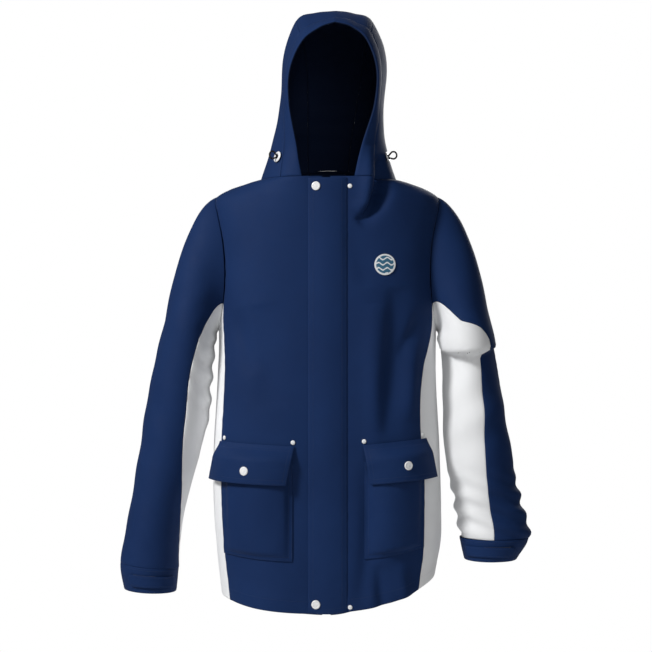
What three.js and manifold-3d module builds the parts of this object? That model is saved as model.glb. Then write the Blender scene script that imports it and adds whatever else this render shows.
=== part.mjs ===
// A hooded foul weather jacket, worn shape, sleeves hanging. Millimetres, +Z up, front towards -Y.
// "right" and "left" are the wearer's: the right side is at -X. Fabric is cut into panels, and every
// panel is a patch of one of three surfaces: the torso, a sleeve or the hood.
import * as THREE from 'three';
import { mergeVertices } from 'three/addons/utils/BufferGeometryUtils.js';
import Module from 'manifold-3d';

const wasm = await Module();
wasm.setup();

// ---------- driving dimensions ----------
const SIDES = { right: -1, left: 1 };
const CLOTH = 1.6;                  // one layer of coated fabric with its lining
const FOLDED = 2.2;                 // a flap: two layers sewn together
const GAP = 0.5;                    // left between neighbouring pieces
const NECK_Z = -16;                 // neck seam, at the front
const HEM_Z = -775;                 // bottom hem, at the front
const SEAM_TURN = 0.003;            // half a seam gap, in quarter turns of the torso
const SEAM_DEGREES = 0.5;           // half a seam gap, in degrees round a sleeve
const LOOP_PLACE = [0, 66, -4];     // middle of the hanger loop, which becomes the origin

// Torso sections: height, right half width, left half width, back depth, squareness.
const TORSO = [
  [HEM_Z, 190, 192, 118, 2.5],
  [-700, 198, 203, 118, 2.5],
  [-600, 204, 204, 117, 2.5],
  [-500, 204, 200, 117, 2.5],
  [-400, 199, 195, 118, 2.5],
  [-285, 196, 194, 121, 2.4],
  [-200, 199, 198, 121, 2.3],
  [-130, 204, 202, 118, 2.15],
  [-75, 207, 205, 108, 1.95],
  [-48, 202, 199, 100, 1.8],
  [-32, 176, 176, 94, 1.8],
  [-22, 145, 147, 89, 2.0],
  [NECK_Z, 121, 123, 85, 2.1],
];
const FRONT_TOP = 103;              // front depth at the neck seam
const FRONT_HEM = 130;              // front depth at the hem: the front centre line is straight
const FLAT_HALF = 40;               // the flat band down the front that carries the closure
const FLAT_SHARE = 0.22;            // share of the quarter turn that the flat band takes
const NECK_RISE = 26;               // how much higher the neck seam is at the back
const HEM_RISE = { right: 20, left: 55 };
const ROWS = [HEM_Z, -690, -600, -510, -430, -350, -285, -237, -185, -135, -95, -70, -54, -42, -32, -24, NECK_Z];

// Armhole: an oval on the torso's side. Side panel: its half width in quarter turns.
const APEX_Z = -237;                // where the side panel's seam meets the armhole
const ARMHOLE_Z = -165;
const ARMHOLE_HALF = 120;
const ARMHOLE_TURN = 0.25;
const SIDE_SEAM = [[HEM_Z, 0.25, 0.37], [-430, 0.25, 0.38], [-350, 0.24, 0.33], [-285, 0.2, 0.2], [-230, 0.2, 0.2]];

// Sleeve sections: height, centre from the middle plane, half width, centre in y, half depth, slope.
const SLEEVE = {
  right: [
    [-745, 316, 46, -34, 52, 0.05],
    [-707, 318, 51, -32, 55, 0.1],
    [-612, 307, 48, -26, 58, 0.12],
    [-500, 283, 53, -18, 64, 0.15],
    [-425, 268, 56, -12, 68, 0.2],
    [-345, 257, 50, -8, 73, 0.35],
    [-290, 247, 45, -5, 78, 0.5],
  ],
  left: [
    [-690, 288, 46, -40, 50, 0.0],
    [-645, 295, 62, -38, 58, 0.0],
    [-590, 283, 58, -32, 60, 0.05],
    [-500, 268, 59, -24, 66, 0.1],
    [-400, 258, 52, -14, 70, 0.2],
    [-340, 252, 47, -9, 74, 0.35],
    [-290, 246, 44, -5, 78, 0.5],
  ],
};
const HEAD_SHARE = 0.38;            // share of the sleeve's length between armhole and upper arm
const CUFF_SHARE = 0.94;            // where the cuff band starts
// Under-sleeve panel: share of length, degrees from the underside to its front and to its back seam.
const UNDER_SEAM = {
  right: [[0, 53, 45], [0.3, 58, 42], [0.5, 72, 38], [0.66, 60, 42], [0.82, 20, 62], [1, -15, 82]],
  left: [[0, 53, 45], [0.3, 80, 30], [0.42, 128, 10], [0.55, 108, 12], [0.75, 94, 20], [1, 82, 30]],
};

// Hood guide curves, each from the neck seam over the crown seam to the middle: half width, y, height.
const HOOD_GUIDES = [
  [[48, -101, -16], [59, -95, 40], [76, -93, 110], [78, -95, 170], [58, -94, 222], [30, -91, 246], [0, -89, 256]],
  [[121, -2, -16], [101, 4, 50], [93, 8, 120], [92, 10, 205], [68, 8, 274], [34, 6, 287], [0, 5, 291]],
  [[102, 58, 0], [90, 74, 50], [85, 92, 110], [80, 98, 175], [56, 92, 236], [28, 94, 250], [0, 95, 254]],
  [[92, 66, 4], [80, 84, 30], [74, 104, 62], [66, 114, 100], [46, 120, 135], [24, 124, 146], [0, 126, 150]],
  [[84, 66, 4], [76, 70, 5], [66, 74, 6], [52, 79, 8], [36, 82, 9], [18, 84, 10], [0, 85, 10]],
];
const HOOD_NECK_TURN = [[0, 0.25], [0.25, 1], [0.5, 1.28], [0.75, 1.42], [1, 1.5]];
const HOOD_SHIFT = 12;              // how far the crown leans to the left
const CROWN = 4 / 6;                // place of the crown seam along a guide
const RIM_SHARE = 0.075;            // hem tunnel round the face opening

// Closure down the front.
const ZIP_X = -3;
const PANEL_EDGE = 7;               // from the zip line to the edge of each front panel
const FLAP_SEWN_X = 33;
const FLAP_WIDTH = 68;
const FLAP_TOP_Z = -19;
const FLAP_BOTTOM_Z = -773;
const FLAP_RISE = 4.6;              // the flap arches over the zip
const ZIP_TOP_Z = -44;
const ZIP_BOTTOM_Z = -752;

// Pockets: distances from the middle plane and heights of the flap's and the pouch's corners.
const POCKETS = {
  right: { inner: 58, outer: 187, innerZ: -485, outerZ: -479, flare: 13, snap: [136, -531] },
  left: { inner: 60, outer: 170, innerZ: -483, outerZ: -473, flare: 12, snap: [129, -524] },
};
const POCKET_FLAP_DROP = 68;
const POUCH_TOP_Z = -512;
const POUCH_BOTTOM_Z = -686;
const POUCH_DEPTH = 18;             // how far the pouch stands off the panel in its middle
const POUCH_EDGE = 6;               // and at its sides
const FLAP_OVER_POUCH = 3.8;        // room between the flap and the pouch for the snap

// Snap fasteners on the storm flap: share of its width from the sewn edge, and heights.
const SNAP_ACROSS = 0.79;
const NECK_SNAP_Z = -34;
const HEM_SNAP_Z = -757;

// Drawcord: place of the eyelets on the hood, and the loop's route as (down, out) from the eyelet.
const EYELET_BACK = { right: 0.1, left: 0.16 };
const EYELET_ALONG = 0.1;
const EYELET_RADIUS = 10;
const EYELET_LIFT = 2.2;            // a flat ring on a hollow curve stands clear of it
const EYELET_BORE = 4;
const CORD_DIAMETER = 3;
const CORD_ROUTE = [[-1.75, -12], [-1.75, -4], [-1.8, 1.5], [-4.2, 5.5], [-6.4, 10], [-4.8, 14.8], [0, 16.8],
  [4.8, 14.8], [6.4, 10], [4.2, 5.5], [1.8, 1.5], [1.75, -4], [1.75, -12]];

const TAB_LOW = 0.958;              // the cuff tab's place along the sleeve
const TAB_HIGH = 0.986;
const CAP_RADIUS = 7.8;
const RIVET_RADIUS = 4;
const BADGE = { x: 99, z: -170, radius: 18.5 };

// ---------- materials ----------
const material = (color, roughness, metalness = 0) => new THREE.MeshStandardMaterial({ color, roughness, metalness });
const NAVY = material(0x1c2f5c, 0.62);
const WHITE = material(0xe9ebee, 0.6);
const SNAP = material(0xf2f2f0, 0.3);
const BLACK = material(0x111214, 0.6);
const METAL = material(0x8d9094, 0.35, 0.9);
const TEAL = material(0x4f93a0, 0.6);

// ---------- curves and surfaces ----------
// Smooth curve through rows of [key, ...values], with the keys rising.
function through(rows, key) {
  let i = 0;
  while (i < rows.length - 2 && key > rows[i + 1][0]) i += 1;
  const span = rows[i + 1][0] - rows[i][0];
  const t = THREE.MathUtils.clamp((key - rows[i][0]) / span, 0, 1);
  const slope = (at, column) => {
    const before = rows[Math.max(at - 1, 0)];
    const after = rows[Math.min(at + 1, rows.length - 1)];
    return (after[column] - before[column]) / (after[0] - before[0]);
  };
  return rows[i].slice(1).map((value, k) => hermite(
    value, slope(i, k + 1) * span, rows[i + 1][k + 1], slope(i + 1, k + 1) * span, t));
}

function hermite(start, startSlope, end, endSlope, t) {
  const t2 = t * t;
  const t3 = t2 * t;
  return start * (2 * t3 - 3 * t2 + 1) + startSlope * (t3 - 2 * t2 + t)
    + end * (3 * t2 - 2 * t3) + endSlope * (t3 - t2);
}

const mix = THREE.MathUtils.lerp;
const ramp = (x, low, high) => THREE.MathUtils.smoothstep(x, low, high);

// Torso surface. turn is 0 at the centre front, 1 at the left side, 2 at the centre back, -1 at the right side.
function torso(turn, z) {
  const [right, left, back, square] = through(TORSO, z);
  const wrapped = turn > 2 ? turn - 4 : turn;
  const side = Math.sign(wrapped) || 1;
  const behind = Math.abs(wrapped) > 1;
  const reach = behind ? 2 - Math.abs(wrapped) : Math.abs(wrapped);
  const bend = Math.max(0, reach - FLAT_SHARE) / (1 - FLAT_SHARE) * Math.PI / 2;
  const across = reach < FLAT_SHARE
    ? FLAT_HALF * reach / FLAT_SHARE
    : FLAT_HALF + ((side > 0 ? left : right) - FLAT_HALF) * Math.sin(bend) ** (2 / square);
  const deep = Math.max(Math.cos(bend), 0) ** (2 / square);
  const front = mix(FRONT_TOP, FRONT_HEM, (NECK_Z - z) / (NECK_Z - HEM_Z));
  const nearNeck = ramp(z, -130, NECK_Z);
  const nearHem = 1 - ramp(z, HEM_Z, -560);
  const neckLift = behind ? NECK_RISE * nearNeck * Math.cos(reach * Math.PI / 2) ** 2 : 0;
  const hemLift = (side > 0 ? HEM_RISE.left : HEM_RISE.right) * nearHem * Math.sin(reach * Math.PI / 2) ** 2;
  return new THREE.Vector3(side * across, (behind ? back : -front) * deep, z + neckLift + hemLift);
}

// The turn at which the torso's front is x from the middle plane.
function turnAt(x, z) {
  const [right, left, , square] = through(TORSO, z);
  const away = Math.abs(x);
  if (away < FLAT_HALF) return Math.sign(x) * FLAT_SHARE * away / FLAT_HALF;
  const share = Math.min((away - FLAT_HALF) / ((x > 0 ? left : right) - FLAT_HALF), 1);
  const bend = Math.asin(share ** (square / 2)) / (Math.PI / 2);
  return Math.sign(x) * (FLAT_SHARE + (1 - FLAT_SHARE) * bend);
}

const torsoFront = (x, z) => torso(turnAt(x, z), z);

function armhole(side, degrees) {
  const angle = THREE.MathUtils.degToRad(degrees);
  return torso(side * (1 - ARMHOLE_TURN * Math.sin(angle)), ARMHOLE_Z + ARMHOLE_HALF * Math.cos(angle));
}

// Half width of the side panel or the armhole at a height, in turns.
function sideGap(name, z) {
  const across = (z - ARMHOLE_Z) / ARMHOLE_HALF;
  if (across >= 1) return 0;
  const oval = ARMHOLE_TURN * Math.sqrt(Math.max(0, 1 - across * across));
  return z > APEX_Z ? oval : through(SIDE_SEAM, z)[name === 'left' ? 1 : 0];
}

// One section of the lower sleeve. degrees is 0 at the outer side, 90 at the front, 180 underneath.
function sleeveRing(name, degrees, z) {
  const [centre, half, centreY, halfY, slope] = through(SLEEVE[name], z);
  const angle = THREE.MathUtils.degToRad(degrees);
  const x = SIDES[name] * (centre + half * Math.cos(angle));
  return new THREE.Vector3(x, centreY - halfY * Math.sin(angle), z + slope * half * Math.cos(angle));
}

// Sleeve surface: from the armhole (share 0) over the sleeve head to the cuff (share 1).
function sleeve(name, degrees, share) {
  const rows = SLEEVE[name];
  const upperZ = rows[rows.length - 1][0];
  if (share >= HEAD_SHARE) {
    return sleeveRing(name, degrees, mix(upperZ, rows[0][0], (share - HEAD_SHARE) / (1 - HEAD_SHARE)));
  }
  const side = SIDES[name];
  const leave = new THREE.Vector3(side, -0.25 * Math.sin(THREE.MathUtils.degToRad(degrees)), -0.3).normalize();
  const start = armhole(side, degrees).addScaledVector(leave, 1.2);
  const end = sleeveRing(name, degrees, upperZ);
  const length = start.distanceTo(end);
  leave.multiplyScalar(length * 0.6);
  const arrive = new THREE.Vector3(side * 0.15, -0.04, -1).normalize().multiplyScalar(length);
  const t = share / HEAD_SHARE;
  return new THREE.Vector3(
    hermite(start.x, leave.x, end.x, arrive.x, t),
    hermite(start.y, leave.y, end.y, arrive.y, t),
    hermite(start.z, leave.z, end.z, arrive.z, t));
}

// Hood surface: along is 0 at the neck seam and 1 in the middle; back is 0 at the face and 1 at the nape.
function hood(side, along, back) {
  const column = (guide) => through(guide.map((point, i) => [i / (guide.length - 1), ...point]), along);
  const steps = HOOD_GUIDES.map((guide, i) => [i / (HOOD_GUIDES.length - 1), ...column(guide)]);
  const bases = HOOD_GUIDES.map((guide, i) => [i / (HOOD_GUIDES.length - 1), ...guide[0]]);
  const [half, y, z] = through(steps, back);
  const [baseHalf, baseY, baseZ] = through(bases, back);
  const seam = torso(side * through(HOOD_NECK_TURN, back)[0], NECK_Z);
  const pull = (1 - along) ** 3;
  const lean = HOOD_SHIFT * ramp(z, 0, 220);
  return new THREE.Vector3(
    side * (half + (Math.abs(seam.x) - baseHalf) * pull) + lean,
    y + (seam.y - baseY) * pull,
    z + (seam.z + 2 * GAP - baseZ) * pull);
}

// ---------- solids ----------
function facingOut(geometry) {
  const place = geometry.attributes.position;
  const corner = [0, 1, 2].map(() => new THREE.Vector3());
  let volume = 0;
  for (let i = 0; i < geometry.index.count; i += 3) {
    corner.forEach((point, k) => point.fromBufferAttribute(place, geometry.index.getX(i + k)));
    volume += corner[0].dot(corner[1].clone().cross(corner[2]));
  }
  if (volume > 0) return geometry;
  const order = Array.from(geometry.index.array);
  for (let i = 0; i < order.length; i += 3) [order[i], order[i + 1]] = [order[i + 1], order[i]];
  geometry.setIndex(order);
  return geometry;
}

function merged(geometry) {
  geometry.deleteAttribute('normal');
  geometry.deleteAttribute('uv');
  return mergeVertices(geometry, 1e-3);
}

// A patch of cloth: a box whose faces are laid on a surface, from the inner to the outer offset.
// Offsets are numbers or functions of (u, v). They are measured along the surface's normal, times facing,
// which is -1 where u and v run so that the normal points into the garment.
function patch(surface, inner, outer, across, along, facing = 1) {
  const geometry = merged(new THREE.BoxGeometry(1, 1, 1, across, along, 1));
  matchDiagonals(geometry);
  const place = geometry.attributes.position;
  for (let i = 0; i < place.count; i += 1) {
    const u = place.getX(i) + 0.5;
    const v = place.getY(i) + 0.5;
    const chosen = place.getZ(i) > 0 ? outer : inner;
    const offset = typeof chosen === 'function' ? chosen(u, v) : chosen;
    const point = surface(u, v).addScaledVector(normalOf(surface, u, v), offset * facing);
    place.setXYZ(i, point.x, point.y, point.z);
  }
  return facingOut(geometry);
}

// A box splits the squares of its two opposite faces along opposed diagonals. On a thin curved sheet the
// two walls would then pass through each other, so the inner wall is split along the outer wall's diagonal.
function matchDiagonals(boxGeometry) {
  const corners = boxGeometry.index.array;
  const place = boxGeometry.attributes.position;
  const cornersPerSquare = 6;
  for (let first = 0; first < corners.length; first += cornersPerSquare) {
    const [a, b, d, , c] = corners.slice(first, first + cornersPerSquare);
    if ([a, b, c, d].every((corner) => place.getZ(corner) < 0)) {
      corners.set([a, b, c, a, c, d], first);
    }
  }
}

function normalOf(surface, u, v) {
  const step = 1e-3;
  const clampedU = THREE.MathUtils.clamp(u, step, 1 - step);
  const clampedV = THREE.MathUtils.clamp(v, step, 1 - step);
  const acrossStep = surface(clampedU + step, clampedV).sub(surface(clampedU - step, clampedV));
  const alongStep = surface(clampedU, clampedV + step).sub(surface(clampedU, clampedV - step));
  return acrossStep.cross(alongStep).normalize();
}

function solid(geometry) {
  const clean = geometry.index && !geometry.attributes.normal ? geometry : merged(geometry);
  return new wasm.Manifold(new wasm.Mesh({
    numProp: 3,
    vertProperties: new Float32Array(clean.attributes.position.array),
    triVerts: new Uint32Array(clean.index.array),
  }));
}

function fromSolid(body) {
  const mesh = body.getMesh();
  const geometry = new THREE.BufferGeometry();
  geometry.setAttribute('position', new THREE.BufferAttribute(mesh.vertProperties, 3));
  geometry.setIndex(new THREE.BufferAttribute(mesh.triVerts, 1));
  return geometry;
}

const jacket = new THREE.Group();
jacket.position.set(...LOOP_PLACE.map((value) => -value));

function add(name, geometry, finish) {
  const mesh = new THREE.Mesh(geometry, finish);
  mesh.name = name;
  jacket.add(mesh);
  return mesh;
}

// Point and outward normal on a surface, lifted by an offset.
function spot(surface, u, v, offset, facing = 1) {
  const normal = normalOf(surface, u, v).multiplyScalar(facing);
  return { place: surface(u, v).addScaledVector(normal, offset), normal };
}

// A turned piece standing on a surface: its profile is [radius, height] pairs, its axis the surface's normal.
function turned(profile, { place, normal }, segments) {
  const outline = profile.map(([radius, height]) => new THREE.Vector2(radius, height));
  const geometry = facingOut(merged(new THREE.LatheGeometry(outline, segments)));
  const upright = new THREE.Quaternion().setFromUnitVectors(new THREE.Vector3(0, 1, 0), normal);
  return geometry.applyQuaternion(upright).translate(place.x, place.y, place.z);
}

// ---------- torso panels ----------
const SIDE_ROWS = ROWS.indexOf(APEX_Z);

function rowHeight(v, rows = ROWS.length - 1) {
  const at = v * rows;
  const i = Math.min(Math.floor(at), rows - 1);
  return mix(ROWS[i], ROWS[i + 1], at - i);
}

function frontPanel(name) {
  const side = SIDES[name];
  const edge = turnAt(ZIP_X + side * PANEL_EDGE, ARMHOLE_Z);
  return patch((u, v) => {
    const z = rowHeight(v);
    return torso(mix(edge, side * (1 - sideGap(name, z) - SEAM_TURN), u), z);
  }, -CLOTH, 0, 8, ROWS.length - 1, side);
}

function backPanel() {
  return patch((u, v) => {
    const z = rowHeight(v);
    return torso(mix(1 + sideGap('left', z) + SEAM_TURN, 3 - sideGap('right', z) - SEAM_TURN, u), z);
  }, -CLOTH, 0, 14, ROWS.length - 1);
}

function sidePanel(name) {
  const side = SIDES[name];
  const top = sideGap(name, APEX_Z);
  return patch((u, v) => {
    const place = mix(-1, 1, u);
    const arch = Math.sqrt(1 - (place * top / ARMHOLE_TURN) ** 2);
    const topZ = ARMHOLE_Z - ARMHOLE_HALF * arch - GAP;
    const z = mix(HEM_Z, topZ, (rowHeight(v, SIDE_ROWS) - HEM_Z) / (APEX_Z - HEM_Z));
    return torso(side * (1 + place * (sideGap(name, Math.min(z, APEX_Z)) - SEAM_TURN)), z);
  }, -CLOTH, 0, 6, SIDE_ROWS, side);
}

add('front_panel_right', frontPanel('right'), NAVY);
add('front_panel_left', frontPanel('left'), NAVY);
add('back_panel', backPanel(), NAVY);
add('side_panel_right', sidePanel('right'), WHITE);
add('side_panel_left', sidePanel('left'), WHITE);

// ---------- sleeves ----------
// Each sleeve is an outer panel over the top and an under panel, closed by a cuff band.
function sleevePanels(name) {
  const side = SIDES[name];
  const seams = (share) => through(UNDER_SEAM[name], share);
  const lower = (v) => mix(0, CUFF_SHARE - 0.004, v);
  const outer = patch((u, v) => {
    const [front, back] = seams(lower(v));
    return sleeve(name, mix(180 + back + SEAM_DEGREES, 540 - front - SEAM_DEGREES, u), lower(v));
  }, -CLOTH, 0, 14, 15, side);
  const under = patch((u, v) => {
    const [front, back] = seams(lower(v));
    return sleeve(name, mix(180 - front + SEAM_DEGREES, 180 + back - SEAM_DEGREES, u), lower(v));
  }, -CLOTH, 0, 7, 15, side);
  const cuff = patch((u, v) => sleeve(name, mix(1, 359, u), mix(CUFF_SHARE, 1, v)), -CLOTH, 0.6, 20, 2, side);
  add(`sleeve_outer_${name}`, outer, NAVY);
  add(`sleeve_under_${name}`, under, WHITE);
  add(`cuff_${name}`, cuff, NAVY);
}

Object.keys(SIDES).forEach(sleevePanels);

// ---------- hood ----------
function hoodPanels() {
  const back = (v) => mix(RIM_SHARE + 0.004, 0.985, v);
  for (const [name, side] of Object.entries(SIDES)) {
    const panel = patch((u, v) => hood(side, mix(0, CROWN - 0.008, v), back(u)), -CLOTH, 0, 14, 9, side);
    add(`hood_side_${name}`, panel, NAVY);
  }
  const centre = patch((u, v) => {
    const place = mix(-1, 1, u);
    return hood(Math.sign(place) || 1, 1 - Math.abs(place) * (1 - CROWN), back(v));
  }, -CLOTH, 0, 6, 14);
  add('hood_center_panel', centre, NAVY);
  const rim = patch((u, v) => {
    const place = mix(-1, 1, u);
    return hood(Math.sign(place) || 1, 1 - Math.abs(place), mix(0, RIM_SHARE, v));
  }, -CLOTH - 1.2, 1.2, 26, 1);
  add('hood_rim', rim, NAVY);
}

hoodPanels();

// ---------- drawcord eyelets and cord loops ----------
function eyelet(name, side) {
  const seat = spot((u, v) => hood(side, v, u), EYELET_BACK[name], EYELET_ALONG, EYELET_LIFT, side);
  const bore = EYELET_BORE;
  const ring = [[bore, 0], [EYELET_RADIUS, 0], [EYELET_RADIUS - 1, 1.3], [bore + 1, 1.8], [bore, 1.2], [bore, 0]];
  add(`hood_eyelet_${name}`, turned(ring, seat, 20), SNAP);
  const deep = 6;
  const punch = turned([[0, -deep], [bore + 0.4, -deep], [bore + 0.4, deep], [0, deep]], seat, 12);
  const panel = jacket.children.find((mesh) => mesh.name === `hood_side_${name}`);
  panel.geometry = fromSolid(solid(panel.geometry).subtract(solid(punch)));
  const down = new THREE.Vector3(0, 0, -1).projectOnPlane(seat.normal).normalize();
  const route = CORD_ROUTE.map(([along, out]) => seat.place.clone()
    .addScaledVector(down, along).addScaledVector(seat.normal, out));
  add(`drawcord_loop_${name}`, tube(route, CORD_DIAMETER / 2, 8, 30), BLACK);
}

function tube(points, radius, sides, steps) {
  const section = new THREE.Shape(circle(radius, sides));
  const extrudePath = new THREE.CatmullRomCurve3(points);
  return facingOut(merged(new THREE.ExtrudeGeometry(section, { steps, extrudePath, curveSegments: 1 })));
}

function circle(radius, sides) {
  return Array.from({ length: sides }, (_, i) => new THREE.Vector2(
    radius * Math.cos(2 * Math.PI * i / sides), radius * Math.sin(2 * Math.PI * i / sides)));
}

for (const [name, side] of Object.entries(SIDES)) eyelet(name, side);

// ---------- neck: facing, size label, hanger loop ----------
const backNeck = (halfWidth, lowZ, highZ) => (u, v) => {
  const turn = FLAT_SHARE * mix(halfWidth, -halfWidth, u) / FLAT_HALF;
  return torso(2 - turn, mix(lowZ, highZ, v));
};
add('neck_facing', patch(backNeck(48, -58, -19), -4.2, -3.2, 4, 3), NAVY);
add('size_label', patch(backNeck(16, -56, -42), -5.5, -4.7, 1, 2), WHITE);

function hangerLoop() {
  const [x, y, z] = LOOP_PLACE;
  const faceY = torso(2, NECK_Z).y - 4.2 - GAP;
  const half = [[31, faceY, z + 4], [30, faceY - 7, z + 3.5], [17, y + 1.6, z + 1]];
  const route = [...half, [0, y, z], ...half.toReversed().map(([a, b, c]) => [-a, b, c])];
  const section = new THREE.Shape([[-3.5, -0.8], [3.5, -0.8], [3.5, 0.8], [-3.5, 0.8]]
    .map(([a, b]) => new THREE.Vector2(a, b)));
  const extrudePath = new THREE.CatmullRomCurve3(route.map((point) => new THREE.Vector3(...point)));
  return facingOut(merged(new THREE.ExtrudeGeometry(section, { steps: 20, extrudePath })));
}
add('hanger_loop', hangerLoop(), NAVY);

// ---------- front closure ----------
// A strip on the flat band down the front, between two distances from the middle plane.
const frontStrip = (leftX, rightX, lowZ, highZ) => (u, v) => {
  const z = mix(lowZ, highZ, v);
  return torso(turnAt(mix(leftX, rightX, u), z), z);
};

// Sizes across the zip, from its line outwards, and heights on the front panel's surface.
function zip() {
  for (const [name, side] of Object.entries(SIDES)) {
    const tape = frontStrip(ZIP_X + side * 3.7, ZIP_X + side * 16, ZIP_BOTTOM_Z, ZIP_TOP_Z + 6);
    const teeth = frontStrip(ZIP_X + side * 0.2, ZIP_X + side * 3.2, ZIP_BOTTOM_Z + 14, ZIP_TOP_Z);
    add(`zip_tape_${name}`, patch(tape, -3.1, -2.3, 1, 2, side), NAVY);
    add(`zip_teeth_${name}`, patch(teeth, -2.9, -0.7, 1, 2, side), BLACK);
  }
  const box = frontStrip(ZIP_X - 5, ZIP_X + 5, ZIP_BOTTOM_Z, ZIP_BOTTOM_Z + 13);
  add('zip_bottom_box', patch(box, -1.8, 0.8, 1, 1), BLACK);
}
zip();

const topOfZip = torso(turnAt(ZIP_X, ZIP_TOP_Z), ZIP_TOP_Z);
const down = torso(0, -700).sub(torso(0, -100)).normalize();
const outward = down.clone().cross(new THREE.Vector3(1, 0, 0));

// Turns a shape drawn as (across, out) and extruded downwards into its place at the top of the zip.
function onZip(geometry) {
  const basis = new THREE.Matrix4().makeBasis(new THREE.Vector3(1, 0, 0), outward, down);
  return geometry.applyMatrix4(basis.setPosition(topOfZip));
}

function outline(points) {
  return new THREE.Shape(points.map(([a, b]) => new THREE.Vector2(a, b)));
}

function box(lowX, highX, lowY, highY, lowZ, highZ) {
  const geometry = new THREE.BoxGeometry(highX - lowX, highY - lowY, highZ - lowZ);
  return geometry.translate((lowX + highX) / 2, (lowY + highY) / 2, (lowZ + highZ) / 2);
}

function zipSlider() {
  const profile = outline([[-5.5, -1.9], [-3.6, -1.9], [-3.6, -0.3], [3.6, -0.3], [3.6, -1.9], [5.5, -1.9],
    [5.5, 1], [4.5, 1.4], [-4.5, 1.4], [-5.5, 1]]);
  const body = solid(new THREE.ExtrudeGeometry(profile, { depth: 13, bevelEnabled: false }));
  const legs = [[2, 3.4], [9.6, 11]].map(([low, high]) => solid(box(-1, 1, 1, 4.2, low, high)));
  const bridge = solid(box(-1, 1, 3.2, 4.2, 2, 11));
  return onZip(fromSolid(body.add(legs[0]).add(legs[1]).add(bridge)));
}

function zipPull() {
  const profile = outline([[-3.5, 6.4], [3.5, 6.4], [3.2, 30], [2, 33], [-2, 33], [-3.2, 30]]);
  profile.holes.push(new THREE.Path([[-1.6, 8], [1.6, 8], [1.6, 12.4], [-1.6, 12.4]]
    .map(([a, b]) => new THREE.Vector2(a, b))));
  const geometry = new THREE.ExtrudeGeometry(profile, { depth: 1.1, bevelEnabled: false });
  const flat = new THREE.Matrix4().makeBasis(
    new THREE.Vector3(1, 0, 0), new THREE.Vector3(0, 0, 1), new THREE.Vector3(0, -1, 0));
  return onZip(facingOut(merged(geometry.applyMatrix4(flat).translate(0, 2.9, 0))));
}

add('zip_slider', zipSlider(), METAL);
add('zip_pull', zipPull(), METAL);

const flapX = (across) => FLAP_SEWN_X - FLAP_WIDTH * across;
const stormFlap = frontStrip(flapX(0), flapX(1), FLAP_BOTTOM_Z, FLAP_TOP_Z);
const flapLift = (across) => GAP + FLAP_RISE * Math.sin(Math.PI * across);
add('storm_flap', patch(stormFlap, (u) => flapLift(u), (u) => flapLift(u) + FOLDED, 10, 2, -1), NAVY);

// Hook strip on the right front panel and loop strip on the flap's back.
const STRIP = { from: 0.68, to: 0.86, lowZ: -700, highZ: -110, thick: 0.8 };
const strip = frontStrip(flapX(STRIP.from), flapX(STRIP.to), STRIP.lowZ, STRIP.highZ);
const stripLift = (u) => flapLift(mix(STRIP.from, STRIP.to, u)) - 0.3;
add('front_hook_strip', patch(strip, 0.3, 0.3 + STRIP.thick, 2, 1, -1), BLACK);
add('flap_loop_strip', patch(strip, (u) => stripLift(u) - STRIP.thick, stripLift, 2, 1, -1), BLACK);

// ---------- snap fasteners and rivets ----------
const CAP = [[0, 0], [CAP_RADIUS, 0], [CAP_RADIUS, 0.7], [6.6, 1.7], [4, 2.3], [0, 2.5]];
const SOCKET = [[2.4, 0], [5.4, 0], [5.4, 0.9], [2.4, 0.9], [2.4, 0]];
const STUD = [[0, 0], [5.4, 0], [5.4, 0.6], [1.5, 0.8], [1.5, 1.8], [0, 1.8]];
const RIVET = [[0, 0], [RIVET_RADIUS, 0], [RIVET_RADIUS - 0.5, 1], [0, 1.6]];

// The cap and the socket hold the flap between them; the stud stands on the panel below.
function snapFastener(name, flap, lift, u, v, facing, panel) {
  const back = (a, b) => flap(a, b).addScaledVector(normalOf(flap, a, b), facing * lift(a, b));
  add(`${name}_snap_cap`, turned(CAP, spot(back, u, v, FOLDED + 0.5, facing), 18), SNAP);
  add(`${name}_snap_socket`, turned(SOCKET, spot(back, u, v, -1.5, facing), 12), METAL);
  add(`${name}_snap_stud`, turned(STUD, panel, 12), METAL);
}

function frontSnap(name, z) {
  const v = (z - FLAP_BOTTOM_Z) / (FLAP_TOP_Z - FLAP_BOTTOM_Z);
  snapFastener(name, stormFlap, flapLift, SNAP_ACROSS, v, -1, spot(stormFlap, SNAP_ACROSS, v, 0.3, -1));
}
frontSnap('neck', NECK_SNAP_Z);
frontSnap('hem', HEM_SNAP_Z);

function rivetAt(name, surface, u, v, offset, facing) {
  add(name, turned(RIVET, spot(surface, u, v, offset, facing), 12), SNAP);
}
const rivetStrip = frontStrip(FLAP_SEWN_X + 4.5, FLAP_SEWN_X + 5.5, HEM_Z, NECK_Z);
rivetAt('neck_rivet', rivetStrip, 0.5, 0.977, 0.4, 1);
rivetAt('hem_rivet', rivetStrip, 0.5, 0.01, 0.4, 1);

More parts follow.
